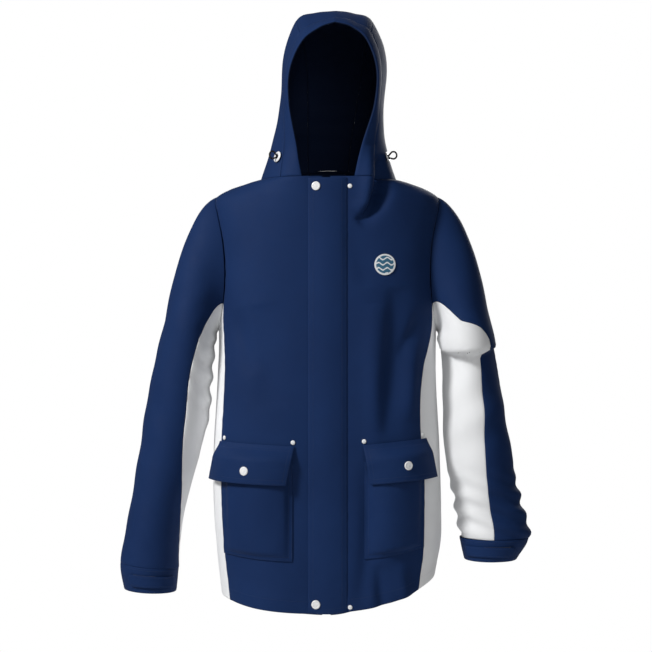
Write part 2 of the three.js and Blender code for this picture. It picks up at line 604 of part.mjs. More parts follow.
// ---------- pockets ----------
function pocket(name) {
  const side = SIDES[name];
  const size = POCKETS[name];
  const bulge = (u) => POUCH_EDGE + (POUCH_DEPTH - POUCH_EDGE) * Math.sin(Math.PI * u);
  const front = (x, z) => torso(turnAt(side * x, z), z);

  const pouch = (insetX, lowZ, highZ) => (u, v) => front(
    mix(size.inner + 3 + insetX, size.outer - 4 - insetX, u), mix(lowZ, highZ, v));
  const shape = (u, v) => bulge(u) * (0.55 + 0.45 * Math.sin(Math.PI / 2 * v));
  const outer = patch(pouch(0, POUCH_BOTTOM_Z, POUCH_TOP_Z), GAP, shape, 8, 5, side);
  const inner = patch(pouch(CLOTH, POUCH_BOTTOM_Z + CLOTH, POUCH_TOP_Z + 3), -2,
    (u, v) => shape(u, v) - CLOTH, 8, 5, side);
  add(`pocket_pouch_${name}`, fromSolid(solid(outer).subtract(solid(inner))), NAVY);

  const flap = (u, v) => front(
    mix(size.inner, size.outer, u) + size.flare * (1 - v),
    mix(size.innerZ, size.outerZ, u) - POCKET_FLAP_DROP * (1 - v));
  const lift = (u, v) => mix(1, bulge(THREE.MathUtils.clamp(u, 0, 1)) + FLAP_OVER_POUCH, ramp(1 - v, 0, 0.42));
  add(`pocket_flap_${name}`, patch(flap, lift, (u, v) => lift(u, v) + FOLDED, 9, 6, side), NAVY);

  const [snapX, snapZ] = size.snap;
  const v = 1 - (size.innerZ - snapZ) / POCKET_FLAP_DROP;
  const u = (snapX - size.inner - size.flare * (1 - v)) / (size.outer - size.inner);
  const pouchU = (snapX - size.inner - 3) / (size.outer - size.inner - 7);
  const pouchV = (snapZ - POUCH_BOTTOM_Z) / (POUCH_TOP_Z - POUCH_BOTTOM_Z);
  const seat = spot(pouch(0, POUCH_BOTTOM_Z, POUCH_TOP_Z), pouchU, pouchV, 0, side);
  seat.place.addScaledVector(seat.normal, shape(pouchU, pouchV) + 0.4);
  snapFastener(`pocket_${name}`, flap, lift, u, v, side, seat);

  rivetAt(`pocket_rivet_inner_${name}`, flap, 0.03, 1.09, 0.5, side);
  rivetAt(`pocket_rivet_outer_${name}`, flap, 0.96, 1.09, 0.5, side);
}
Object.keys(SIDES).forEach(pocket);

// ---------- cuff tabs ----------
function cuffTab(name) {
  const side = SIDES[name];
  const band = (from, to) => (u, v) => sleeve(name, mix(from, to, u), mix(TAB_LOW, TAB_HIGH, v));
  add(`cuff_loop_pad_${name}`, patch(band(64, 110), 1, 1.7, 4, 1, side), BLACK);
  add(`cuff_tab_${name}`, patch(band(52, 150), 2.4, 4, 10, 1, side), NAVY);
}
Object.keys(SIDES).forEach(cuffTab);

// ---------- chest badge ----------
function badge() {
  const disc = merged(new THREE.CylinderGeometry(BADGE.radius, BADGE.radius, 1, 28));
  const place = disc.attributes.position;
  for (let i = 0; i < place.count; i += 1) {
    const surface = (u, v) => torso(turnAt(BADGE.x + u, BADGE.z + v), BADGE.z + v);
    const x = place.getX(i);
    const z = -place.getZ(i);
    const across = surface(x + 1, z).sub(surface(x - 1, z));
    const normal = across.cross(surface(x, z + 1).sub(surface(x, z - 1))).normalize();
    const point = surface(x, z).addScaledVector(normal, 1.3 + place.getY(i));
    place.setXYZ(i, point.x, point.y, point.z);
  }
  return facingOut(disc);
}
add('chest_badge', badge(), TEAL);

export default jacket;
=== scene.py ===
import math

import bpy
import numpy as np
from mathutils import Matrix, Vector


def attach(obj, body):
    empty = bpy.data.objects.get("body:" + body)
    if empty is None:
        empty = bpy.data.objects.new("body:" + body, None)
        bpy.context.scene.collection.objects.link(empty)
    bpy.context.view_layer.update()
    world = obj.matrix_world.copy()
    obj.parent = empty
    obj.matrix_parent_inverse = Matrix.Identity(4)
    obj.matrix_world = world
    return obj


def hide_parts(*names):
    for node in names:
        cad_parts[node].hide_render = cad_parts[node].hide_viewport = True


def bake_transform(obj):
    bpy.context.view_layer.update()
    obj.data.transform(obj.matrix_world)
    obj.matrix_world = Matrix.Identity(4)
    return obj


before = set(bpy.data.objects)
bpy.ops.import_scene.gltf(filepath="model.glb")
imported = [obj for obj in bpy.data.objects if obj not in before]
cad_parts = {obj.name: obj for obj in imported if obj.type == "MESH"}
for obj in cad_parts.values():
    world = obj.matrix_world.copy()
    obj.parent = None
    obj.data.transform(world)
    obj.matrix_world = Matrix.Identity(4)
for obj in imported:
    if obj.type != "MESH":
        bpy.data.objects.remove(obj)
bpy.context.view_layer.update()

# The jacket is drawn in millimetres in the garment frame: +Z up, the front towards -Y, z about 0 at the
# neck. to_frame() turns that into the row frame, in metres, whose origin is the hanger loop.
# "right" and "left" are the wearer's: the right side is at -X.

# ---------- driving dimensions, as in the CAD ----------
SIDES = {"right": -1, "left": 1}
LOOP_PLACE = (0, 66, -4)
CLOTH = 1.6
FOLDED = 2.2
GAP = 0.5
NECK_Z = -16
HEM_Z = -775
# Torso sections: height, right half width, left half width, back depth, squareness.
TORSO = [
    (HEM_Z, 190, 192, 118, 2.5), (-700, 198, 203, 118, 2.5), (-600, 204, 204, 117, 2.5),
    (-500, 204, 200, 117, 2.5), (-400, 199, 195, 118, 2.5), (-285, 196, 194, 121, 2.4),
    (-200, 199, 198, 121, 2.3), (-130, 204, 202, 118, 2.15), (-75, 207, 205, 108, 1.95),
    (-48, 202, 199, 100, 1.8), (-32, 176, 176, 94, 1.8), (-22, 145, 147, 89, 2.0),
    (NECK_Z, 121, 123, 85, 2.1),
]
FRONT_TOP = 103
FRONT_HEM = 130
FLAT_HALF = 40
FLAT_SHARE = 0.22
NECK_RISE = 26
NECK_RISE_FROM = -130
HEM_RISE = {-1: 20, 1: 55}
HEM_RISE_TO = -560
APEX_Z = -237
ARMHOLE_Z = -165
ARMHOLE_HALF = 120
ARMHOLE_TURN = 0.25
# Side panel: height, half width in quarter turns on the right and on the left.
SIDE_SEAM = [
    (HEM_Z, 0.25, 0.37), (-430, 0.25, 0.38), (-350, 0.24, 0.33), (-285, 0.2, 0.2), (-230, 0.2, 0.2),
]
# Sleeve sections: height, centre from the middle plane, half width, centre in y, half depth, slope.
SLEEVE = {
    "right": [
        (-745, 316, 46, -34, 52, 0.05), (-707, 318, 51, -32, 55, 0.1), (-612, 307, 48, -26, 58, 0.12),
        (-500, 283, 53, -18, 64, 0.15), (-425, 268, 56, -12, 68, 0.2), (-345, 257, 50, -8, 73, 0.35),
        (-290, 247, 45, -5, 78, 0.5),
    ],
    "left": [
        (-690, 288, 46, -40, 50, 0.0), (-645, 295, 62, -38, 58, 0.0), (-590, 283, 58, -32, 60, 0.05),
        (-500, 268, 59, -24, 66, 0.1), (-400, 258, 52, -14, 70, 0.2), (-340, 252, 47, -9, 74, 0.35),
        (-290, 246, 44, -5, 78, 0.5),
    ],
}
HEAD_SHARE = 0.38
# How the sleeve head leaves the armhole and arrives at the upper arm.
HEAD_FORWARD = -0.25
HEAD_DROP = -0.3
HEAD_FULLNESS = 0.6
ARM_RUN = (0.15, -0.04, -1.0)
CUFF_SHARE = 0.94
# Under-sleeve panel: share of length, degrees from the underside to its front and to its back seam.
UNDER_SEAM = {
    "right": [(0, 53, 45), (0.3, 58, 42), (0.5, 72, 38), (0.66, 60, 42), (0.82, 20, 62), (1, -15, 82)],
    "left": [(0, 53, 45), (0.3, 80, 30), (0.42, 128, 10), (0.55, 108, 12), (0.75, 94, 20), (1, 82, 30)],
}
# Hood guide curves, each from the neck seam over the crown seam to the middle: half width, y, height.
HOOD_GUIDES = [
    [(48, -101, -16), (59, -95, 40), (76, -93, 110), (78, -95, 170), (58, -94, 222), (30, -91, 246),
     (0, -89, 256)],
    [(121, -2, -16), (101, 4, 50), (93, 8, 120), (92, 10, 205), (68, 8, 274), (34, 6, 287), (0, 5, 291)],
    [(102, 58, 0), (90, 74, 50), (85, 92, 110), (80, 98, 175), (56, 92, 236), (28, 94, 250), (0, 95, 254)],
    [(92, 66, 4), (80, 84, 30), (74, 104, 62), (66, 114, 100), (46, 120, 135), (24, 124, 146), (0, 126, 150)],
    [(84, 66, 4), (76, 70, 5), (66, 74, 6), (52, 79, 8), (36, 82, 9), (18, 84, 10), (0, 85, 10)],
]
HOOD_NECK_TURN = [(0, 0.25), (0.25, 1), (0.5, 1.28), (0.75, 1.42), (1, 1.5)]
HOOD_SHIFT = 12
HOOD_SHIFT_TOP = 220
NAPE_FROM = 0.9
CROWN = 4 / 6
RIM_SHARE = 0.075
ZIP_X = -3
PANEL_EDGE = 7
FLAP_SEWN_X = 33
FLAP_WIDTH = 68
FLAP_TOP_Z = -19
FLAP_BOTTOM_Z = -773
FLAP_RISE = 4.6
# Hook and loop strips: shares of the flap's width, and heights.
STRIP_NEAR = 0.68
STRIP_FAR = 0.86
STRIP_BOTTOM_Z = -700
STRIP_TOP_Z = -110
ZIP_TOP_Z = -44
ZIP_BOTTOM_Z = -752
POCKETS = {
    "right": {"inner": 58, "outer": 187, "inner_z": -485, "outer_z": -479, "flare": 13},
    "left": {"inner": 60, "outer": 170, "inner_z": -483, "outer_z": -473, "flare": 12},
}
POCKET_FLAP_DROP = 68
POUCH_TOP_Z = -512
POUCH_BOTTOM_Z = -686
POUCH_DEPTH = 18
POUCH_EDGE = 6
FLAP_OVER_POUCH = 3.8
EYELET_BACK = {"right": 0.1, "left": 0.16}
EYELET_ALONG = 0.1
EYELET_LIFT = 2.2
CORD_DIAMETER = 3
CORD_ROUTE = [
    (-1.75, -12), (-1.75, -4), (-1.8, 1.5), (-4.2, 5.5), (-6.4, 10), (-4.8, 14.8), (0, 16.8),
    (4.8, 14.8), (6.4, 10), (4.2, 5.5), (1.8, 1.5), (1.75, -4), (1.75, -12),
]
TAB_LOW = 0.958
TAB_HIGH = 0.986
TAB_TURN = (52, 150)
TAB_BEND = (148, 136)
LOOP_PAD_TURN = (64, 110)
BADGE_X, BADGE_Z, BADGE_RADIUS = 99, -170, 18.5


def to_frame(points):
    return (np.asarray(points, float) - LOOP_PLACE) / 1000


def floats(*values):
    """Numbers and arrays, as float arrays of one shape."""
    return np.broadcast_arrays(*(np.atleast_1d(value).astype(float) for value in values))


def spacing(line):
    """Distances between neighbouring points of a line."""
    return np.linalg.norm(np.diff(line, axis=0), axis=1)


# ---------- curves and surfaces, as in the CAD; every argument may be an array ----------
def hermite(start, start_slope, end, end_slope, t):
    t2, t3 = t * t, t * t * t
    return (start * (2 * t3 - 3 * t2 + 1) + start_slope * (t3 - 2 * t2 + t)
            + end * (3 * t2 - 2 * t3) + end_slope * (t3 - t2))


def through(knots, values, key):
    """Smooth curve through values (knots, k) or (knots, points, k) at each key: (points, k)."""
    knots, values, key = np.asarray(knots, float), np.asarray(values, float), np.atleast_1d(key)
    if values.ndim == 2:
        values = np.repeat(values[:, None], len(key), axis=1)
    i = np.clip(np.searchsorted(knots, key) - 1, 0, len(knots) - 2)
    point = np.arange(len(key))

    def slope(at):
        before, after = np.maximum(at - 1, 0), np.minimum(at + 1, len(knots) - 1)
        return (values[after, point] - values[before, point]) / (knots[after] - knots[before])[:, None]

    span = (knots[i + 1] - knots[i])[:, None]
    t = np.clip((key - knots[i])[:, None] / span, 0, 1)
    return hermite(values[i, point], slope(i) * span, values[i + 1, point], slope(i + 1) * span, t)


def rows_at(rows, key):
    table = np.array(rows, float)
    if table[0, 0] > table[-1, 0]:
        table = table[::-1]
    return through(table[:, 0], table[:, 1:], key).T


def mix(a, b, t):
    return a + (b - a) * t


def ramp(x, low, high):
    t = np.clip((x - low) / (high - low), 0, 1)
    return t * t * (3 - 2 * t)


def hump(x, middle, width):
    return np.exp(-((x - middle) / width) ** 2)


def torso(turn, z):
    """turn is 0 at the centre front, 1 at the left side, 2 at the centre back, -1 at the right side."""
    turn, z = floats(turn, z)
    right, left, back, square = rows_at(TORSO, z)
    wrapped = np.where(turn > 2, turn - 4, turn)
    side = np.where(wrapped < 0, -1, 1)
    behind = np.abs(wrapped) > 1
    reach = np.where(behind, 2 - np.abs(wrapped), np.abs(wrapped))
    bend = np.maximum(0, reach - FLAT_SHARE) / (1 - FLAT_SHARE) * np.pi / 2
    half = np.where(side > 0, left, right)
    across = np.where(reach < FLAT_SHARE, FLAT_HALF * reach / FLAT_SHARE,
                      FLAT_HALF + (half - FLAT_HALF) * np.sin(bend) ** (2 / square))
    deep = np.maximum(np.cos(bend), 0) ** (2 / square)
    front = mix(FRONT_TOP, FRONT_HEM, (NECK_Z - z) / (NECK_Z - HEM_Z))
    neck_lift = np.where(behind, NECK_RISE * ramp(z, NECK_RISE_FROM, NECK_Z) * np.cos(reach * np.pi / 2) ** 2, 0)
    hem_rise = np.where(side > 0, HEM_RISE[1], HEM_RISE[-1])
    hem_lift = hem_rise * (1 - ramp(z, HEM_Z, HEM_RISE_TO)) * np.sin(reach * np.pi / 2) ** 2
    return np.stack([side * across, np.where(behind, back, -front) * deep, z + neck_lift + hem_lift], axis=1)


def turn_at(x, z):
    x, z = floats(x, z)
    right, left, _, square = rows_at(TORSO, z)
    away = np.abs(x)
    half = np.where(x > 0, left, right)
    share = np.clip((away - FLAT_HALF) / (half - FLAT_HALF), 0, 1)
    bend = np.arcsin(share ** (square / 2)) / (np.pi / 2)
    flat = FLAT_SHARE * away / FLAT_HALF
    return np.sign(x) * np.where(away < FLAT_HALF, flat, FLAT_SHARE + (1 - FLAT_SHARE) * bend)


def torso_front(x, z):
    return torso(turn_at(x, z), z)


def armhole(side, degrees):
    angle = np.radians(degrees)
    return torso(side * (1 - ARMHOLE_TURN * np.sin(angle)), ARMHOLE_Z + ARMHOLE_HALF * np.cos(angle))


def side_gap(name, z):
    """Half width of the side panel or the armhole at a height, in turns."""
    across = (z - ARMHOLE_Z) / ARMHOLE_HALF
    oval = ARMHOLE_TURN * np.sqrt(np.maximum(0, 1 - across * across))
    return np.where(z > APEX_Z, oval, rows_at(SIDE_SEAM, z)[1 if name == "left" else 0])


def unit(vectors):
    return vectors / np.maximum(np.linalg.norm(vectors, axis=-1, keepdims=True), 1e-12)


def sleeve(name, degrees, share):
    """From the armhole (share 0) over the sleeve head to the cuff (share 1); 0 degrees is the outer side."""
    side, rows = SIDES[name], SLEEVE[name]
    degrees, share = floats(degrees, share)
    upper_z = rows[-1][0]
    z = np.where(share >= HEAD_SHARE, mix(upper_z, rows[0][0], (share - HEAD_SHARE) / (1 - HEAD_SHARE)), upper_z)
    centre, half, centre_y, half_y, slope = rows_at(rows, z)
    angle = np.radians(degrees)
    ring = np.stack([side * (centre + half * np.cos(angle)), centre_y - half_y * np.sin(angle),
                     z + slope * half * np.cos(angle)], axis=1)
    leave = unit(np.stack([np.full_like(angle, side), HEAD_FORWARD * np.sin(angle),
                           np.full_like(angle, HEAD_DROP)], axis=1))
    start = armhole(side, degrees)
    length = np.linalg.norm(ring - start, axis=1, keepdims=True)
    arrive = unit(np.array(ARM_RUN) * (side, 1, 1)) * length
    t = np.clip(share / HEAD_SHARE, 0, 1)[:, None]
    head = hermite(start, leave * length * HEAD_FULLNESS, ring, arrive, t)
    return np.where(share[:, None] >= HEAD_SHARE, ring, head)


def hood(side, along, back):
    """along is 0 at the neck seam and 1 in the middle; back is 0 at the face and 1 at the nape."""
    side, along, back = floats(side, along, back)
    guides = np.array(HOOD_GUIDES, float)
    steps = np.linspace(0, 1, guides.shape[1])
    columns = np.array([through(steps, guide, along) for guide in guides])
    places = np.linspace(0, 1, len(guides))
    half, y, z = through(places, columns, back).T
    base_half, base_y, base_z = through(places, guides[:, 0], back).T
    seam = torso(side * rows_at(HOOD_NECK_TURN, back)[0], NECK_Z)
    pull = (1 - along) ** 3
    lean = HOOD_SHIFT * ramp(z, 0, HOOD_SHIFT_TOP)
    cloth = np.stack([side * (half + (np.abs(seam[:, 0]) - base_half) * pull) + lean,
                      y + (seam[:, 1] - base_y) * pull, z + (seam[:, 2] - base_z) * pull], axis=1)
    # The nape's lower edge lies on the back panel's top edge
    nape = torso(2 - turn_at(cloth[:, 0], np.full(len(cloth), float(NECK_Z))), NECK_Z)
    return cloth + (nape - cloth) * (ramp(back, NAPE_FROM, 1.0) ** 2)[:, None]


def normals_of(surface, u, v, facing=1):
    step = 1e-3
    cu, cv = np.clip(u, step, 1 - step), np.clip(v, step, 1 - step)
    across = surface(cu + step, cv) - surface(cu - step, cv)
    along = surface(cu, cv + step) - surface(cu, cv - step)
    return unit(np.cross(across, along)) * facing


# ---------- how the cloth hangs ----------
def swells(points, seed, wavelength, stretch=(1, 1, 1), count=7):
    """Smooth, repeatable unevenness from -1 to 1: a sum of waves in fixed random directions."""
    draw = np.random.default_rng(seed)
    directions = unit(draw.normal(size=(count, 3))) / np.array(stretch)
    phases = draw.uniform(0, 2 * np.pi, count)
    lengths = wavelength * draw.uniform(0.75, 1.4, count)
    waves = np.sin(points @ directions.T * (2 * np.pi / lengths) + phases)
    return waves.sum(axis=1) / math.sqrt(count) / 1.6


def uneven(points, layers):
    return sum(swells(points, seed, wavelength, stretch) * depth for seed, wavelength, stretch, depth in layers)


def rippled(distance, wavelength):
    return np.sin(distance * 2 * np.pi / wavelength)


def crease(points, path, depth, inner_width, outer_width):
    """Depth of a fold line seen from the front.

    path is a list of (x, z) points, and outer_width is to its left as it runs.
    """
    flat, path = points[:, [0, 2]], np.array(path, float)
    best = np.full(len(flat), np.inf)
    result = np.zeros(len(flat))
    lengths = spacing(path)
    total, done = lengths.sum(), 0.0
    for a, b, length in zip(path, path[1:], lengths):
        run = (b - a) / length
        t = np.clip((flat - a) @ run / length, 0, 1)
        away = flat - (a + t[:, None] * (b - a))
        far = np.linalg.norm(away, axis=1)
        turned = run[0] * away[:, 1] - run[1] * away[:, 0]
        width = np.where(turned > 0, outer_width, inner_width)
        along = (done + t * length) / total
        fade = np.sin(np.pi * np.clip(along, 0.0, 1.0)) ** 0.5
        value = depth * fade * np.exp(-(far / width) ** 2)
        nearer = far < best
        result, best = np.where(nearer, value, result), np.minimum(best, far)
        done += length
    return result * ramp(-points[:, 1], -10, 30)


# Unevenness of the cloth, in layers: seed, wavelength, stretch, depth.
BODY_SWELLS = [(11, 210, (1, 1, 2.2), 2.0), (12, 90, (1, 1, 2.0), 0.7), (13, 34, (1, 1, 1), 0.16)]
SLEEVE_SWELLS = [(21, 150, (1, 1, 1.6), 1.6), (22, 60, (1.4, 1.4, 1), 0.8)]
HOOD_SWELLS = [(31, 120, (1, 1, 1), 1.8), (32, 48, (1, 1, 1), 0.5)]
# Fold lines down the front of the body: path of (x, z), depth before FOLD_SCALE, width on each side.
FOLD_SCALE = 1.6
FRONT_FOLDS = [
    ([(118, -210), (112, -300), (106, -380), (101, -470)], -6.0, 14, 26),
    ([(84, -240), (80, -330), (82, -430), (86, -500)], 3.5, 20, 20),
    ([(150, -300), (146, -360), (140, -440)], 4.0, 14, 14),
    ([(64, -520), (68, -610), (62, -700), (48, -775)], -4.5, 12, 20),
    ([(88, -690), (92, -740), (98, -800)], -5.0, 10, 14),
    ([(124, -690), (132, -735), (140, -790)], 4.0, 12, 14),
    ([(-18, -540), (-30, -600), (-34, -680), (-22, -760)], -3.2, 10, 22),
    ([(-60, -520), (-58, -600), (-66, -700)], -2.0, 14, 24),
    ([(-120, -240), (-108, -320), (-100, -420)], -2.6, 22, 32),
    ([(-165, -250), (-150, -300), (-132, -360)], -3.0, 12, 18),
    ([(165, -250), (148, -290), (128, -330)], -3.6, 10, 18),
    ([(20, -90), (46, -140), (66, -210)], -2.2, 14, 26),
]
COLLAR_FOLD = [(88, 20), (88, 4), (89, -14), (86, -41), (78, -64), (66, -82), (50, -94)]
COLLAR_ROLL = [(74, 40), (72, -14), (66, -60), (50, -78)]
# The left sleeve is pushed up the arm, so it breaks over in front: the height of the break, how far the
# cloth stands out above it, and how far it falls in below it.
BREAK_Z = -316
BREAK_OUT = 12
BREAK_IN = -17


def body_folds(points):
    depth = uneven(points, BODY_SWELLS)
    for path, deep, inner, outer in FRONT_FOLDS:
        depth += crease(points, path, deep * FOLD_SCALE, inner, outer)
    hem = 1 - ramp(points[:, 2], HEM_Z + 15, HEM_Z + 190)
    depth += hem * swells(points, 14, 120, (1, 1, 6)) * 3.2
    closure = np.abs(points[:, 0] - ZIP_X)
    depth *= 1 - (1 - ramp(closure, 12, 80)) * ramp(-points[:, 1], 0, 60)
    back = ramp(points[:, 1], 20, 80)
    depth += back * (hump(np.abs(points[:, 0]), 118, 26) * ramp(-points[:, 2], 120, 330) * 3.0
                     + swells(points, 15, 150, (1, 1, 2.5)) * 2.0)
    return depth


def quiet_seams(points):
    """0 at the armholes and the neck seam, 1 away from them, so that both sides of a seam stay together."""
    across = np.abs(points[:, 0])
    oval = np.hypot((points[:, 2] - ARMHOLE_Z) / ARMHOLE_HALF, points[:, 1] / 92)
    armhole_near = hump(oval, 1, 0.2) * ramp(across, 120, 180)
    neck_near = ramp(points[:, 2], NECK_Z - 45, NECK_Z - 4) * (1 - ramp(across, 125, 165))
    return (1 - armhole_near) * (1 - neck_near)


def sleeve_folds(name, points, degrees, share):
    lower = ramp(share, 0.02, 0.2)
    depth = uneven(points, SLEEVE_SWELLS)
    front = np.maximum(0, np.sin(np.radians(degrees))) ** 0.7
    elbow = hump(share, 0.6, 0.13)
    z = points[:, 2]
    if name == "left":
        edge = BREAK_Z - 9 * np.sin(np.radians(degrees)) + 0.05 * (points[:, 0] - 250)
        overhang = ramp(z - edge, -5, 5) * (1 - ramp(z - edge, 12, 80)) * BREAK_OUT
        hollow = (1 - ramp(z - edge, -7, 1)) * ramp(z - edge, -110, -10) * BREAK_IN
        depth += (overhang + hollow) * front * ramp(share, 0.1, 0.25)
        bunch = ramp(share, 0.72, 0.84) * (1 - ramp(share, 0.93, 0.95))
        slant = z + 0.35 * points[:, 0]
        depth += bunch * (rippled(slant, 31) * 3.0 + swells(points, 23, 42, (1.6, 1.6, 1)) * 2.0)
        depth += elbow * front * rippled(z - 0.5 * points[:, 0], 74) * 1.8
    else:
        depth += elbow * rippled(z + 0.9 * points[:, 0], 95)
        under = hump(degrees, 165, 45) * hump(share, 0.47, 0.1)
        depth += under * rippled(z - 0.8 * np.abs(points[:, 0]), 42) * 3.4
        depth += ramp(share, 0.84, 0.95) * swells(points, 24, 55) * 0.8
    pit = hump(degrees % 360, 180, 60) * hump(share, 0.24, 0.12)
    depth += pit * rippled(z + 0.6 * np.abs(points[:, 0]), 48) * 2.4
    return depth * lower


def hood_folds(points, along, back):
    free = ramp(along, 0.02, 0.16) * (1 - ramp(back, 0.88, 0.99))
    depth = uneven(points, HOOD_SWELLS)
    side = rippled(points[:, 2] * 0.8 - points[:, 1], 78) * hump(along, 0.28, 0.16)
    nape = hump(back, 0.82, 0.12) * rippled(points[:, 2], 36) * 1.6
    return (depth + side * 1.2 * ramp(back, 0.2, 0.5) + nape) * free


def drape(points):
    """The deep fold at the left of the throat, where the collar rolls over: it moves hood and body alike."""
    deep = crease(points, COLLAR_FOLD, 1.0, 5, 17) * ramp(points[:, 0], 30, 48)
    fall = mix(14, 32, ramp(points[:, 2], -95, -40))
    roll = crease(points, COLLAR_ROLL, 10.0, 13, 10) * ramp(points[:, 0], 20, 40)
    shift = np.outer(deep * fall, (-0.35, 0.92, -0.1))
    return shift + np.outer(roll, (0.25, -0.9, 0.0))


# ---------- meshes ----------
ROUND_EDGE = 0.9
THREAD_SLOT = 2
STITCH_STEP = 3.6
STITCH_LENGTH = 2.5
STITCH_HALF = 0.32


def added(name, data):
    thing = bpy.data.objects.new(name, data)
    bpy.context.scene.collection.objects.link(thing)
    return thing


def even_rows(count, size):
    """0 to 1 in even steps, with one more row just inside each end, for a rounded edge."""
    inset = min(ROUND_EDGE / size, 0.2)
    return np.concatenate([[0], np.linspace(inset, 1 - inset, count), [1]])


class Build:
    """Points, faces and the material number of each face, before they become one mesh."""

    def __init__(self):
        self.points, self.faces, self.slots = [], [], []

    def add(self, points, faces, slot=0):
        start = sum(len(p) for p in self.points)
        points, faces = np.asarray(points, float), np.asarray(faces, int)
        self.points.append(points)
        self.faces += (faces + start).tolist()
        self.slots += [slot] * len(faces) if np.isscalar(slot) else list(slot)

    def turned_out(self):
        """Turns the faces over if they face inwards. Every face has the same number of corners."""
        corners = np.concatenate(self.points)[np.array(self.faces)]
        volume = 0.0
        for i in range(1, corners.shape[1] - 1):
            volume += np.einsum("ij,ij->", corners[:, 0], np.cross(corners[:, i], corners[:, i + 1]))
        if volume < 0:
            self.faces = [face[::-1] for face in self.faces]

    def object(self, name, materials, smooth=True):
        mesh = bpy.data.meshes.new(name)
        mesh.from_pydata(to_frame(np.concatenate(self.points)).tolist(), [], self.faces)
        for material in materials:
            mesh.materials.append(material)
        mesh.polygons.foreach_set("material_index", self.slots)
        mesh.polygons.foreach_set("use_smooth", [smooth] * len(mesh.polygons))
        mesh.update()
        return added(name, mesh)


def grid_faces(rows, columns):
    corner = (np.arange(rows - 1)[:, None] * columns + np.arange(columns - 1)).ravel()
    return np.stack([corner, corner + 1, corner + columns + 1, corner + columns], axis=1)


def ring_faces(rows, count, joined=False):
    """Faces between rings of count points each; joined rings lead from the last back to the first."""
    near = np.arange(rows if joined else rows - 1)[:, None] * count
    far = (near + count) % (rows * count)
    here = np.arange(count)
    beside = (here + 1) % count
    return np.stack([near + here, near + beside, far + beside, far + here], axis=2).reshape(-1, 4)


def size_of(surface):
    """Width and length of a piece of cloth, measured through its middle."""
    t, half = np.linspace(0, 1, 60), np.full(60, 0.5)
    return [spacing(line).sum() for line in (surface(t, half), surface(half, t))]


def cloth_shell(surface, inner, outer, facing, folds, move, pitch):
    """A thin closed piece of cloth laid on a surface, and the function that gives a point on its outside.

    inner and outer are offsets, as numbers or functions of (u, v). folds(points, u, v) pushes both faces
    along the normal, move(points) shifts them. pitch is the size of its mesh.
    """
    size = size_of(surface)
    us, vs = (even_rows(max(4, math.ceil(side / pitch)), side) for side in size)
    u, v = (a.ravel() for a in np.meshgrid(us, vs))

    def value(offset, a, b):
        return offset(a, b) if callable(offset) else np.full(len(a), float(offset))

    def place(a, b, lift):
        base = surface(a, b)
        normal = normals_of(surface, a, b, facing)
        rise = folds(base, a, b)
        shift = move(base) if move else 0
        return base + normal * (lift + rise)[:, None] + shift, normal

    low, high = value(inner, u, v), value(outer, u, v)
    border = (u == 0) | (u == 1) | (v == 0) | (v == 1)
    middle = mix(low, high, 0.8)
    outside, _ = place(u, v, np.where(border, middle, high))
    inside, _ = place(u, v, np.where(border, middle, low))
    outer_faces = grid_faces(len(vs), len(us))
    number = np.where(border, np.arange(len(u)), 0)
    number[~border] = len(u) + np.arange((~border).sum())
    inner_faces = number[outer_faces][:, ::-1]
    build = Build()
    slots = [0] * len(outer_faces) + [1] * len(inner_faces)
    build.add(np.concatenate([outside, inside[~border]]), np.concatenate([outer_faces, inner_faces]), slots)
    build.turned_out()
    return build, lambda a, b, extra=0.0: place(a, b, value(outer, a, b) + extra)


def sew(build, on_top, ends):
    """A row of stitches on the outside of a shell, along a straight line between two (u, v) ends."""
    (u0, v0), (u1, v1) = ends
    t = np.linspace(0, 1, 160)
    line, normals = on_top(mix(u0, u1, t), mix(v0, v1, t))
    run = np.concatenate([[0], np.cumsum(spacing(line))])
    starts = np.arange(STITCH_STEP / 2, run[-1] - STITCH_STEP, STITCH_STEP)

    def at(distance, table):
        return np.stack([np.interp(distance, run, table[:, k]) for k in range(3)], axis=1)

    a, b = at(starts, line), at(starts + STITCH_LENGTH, line)
    normal = unit(at(starts + STITCH_LENGTH / 2, normals))
    across = unit(np.cross(b - a, normal))
    middle = (a + b) / 2
    points = np.stack([a, b, middle + across * STITCH_HALF, middle + normal * 0.45,
                       middle - across * STITCH_HALF, middle - normal * 0.2], axis=1)
    shape = np.array([[0, 2, 3], [0, 3, 4], [0, 4, 5], [0, 5, 2], [1, 3, 2], [1, 4, 3], [1, 5, 4], [1, 2, 5]])
    faces = (np.arange(len(starts))[:, None, None] * 6 + shape).reshape(-1, 3)
    build.add(points.reshape(-1, 3), faces, THREAD_SLOT)


def inset_lines(size, edges):
    """Straight stitch lines inside a shell: edges is (edge, distance) pairs, an edge being u0, u1, v0 or v1."""
    lines = []
    for edge, away in edges:
        share = away / size[0 if edge[0] == "u" else 1]
        fixed = share if edge[1] == "0" else 1 - share
        near = 4 / size[1 if edge[0] == "u" else 0]
        ends = [(fixed, near), (fixed, 1 - near)] if edge[0] == "u" else [(near, fixed), (1 - near, fixed)]
        lines.append(ends)
    return lines


def pucker(points, u, v, size, sewn):
    """Fine gathers beside a sewn edge."""
    depth = 0
    ripple = swells(points, 41, 12, count=9)
    for edge in sewn:
        far = (u if edge[0] == "u" else v) * size[0 if edge[0] == "u" else 1]
        far = far if edge[1] == "0" else size[0 if edge[0] == "u" else 1] - far
        depth = depth + np.exp(-(far / 7) ** 2) * ripple * 0.34
    return depth


# ---------- materials ----------
def node_material(name):
    material = bpy.data.materials.new(name)
    material.use_nodes = True
    tree = material.node_tree
    shader = tree.nodes["Principled BSDF"]
    return material, tree, shader


def set_inputs(node, values):
    for socket, value in values.items():
        node.inputs[socket].default_value = value


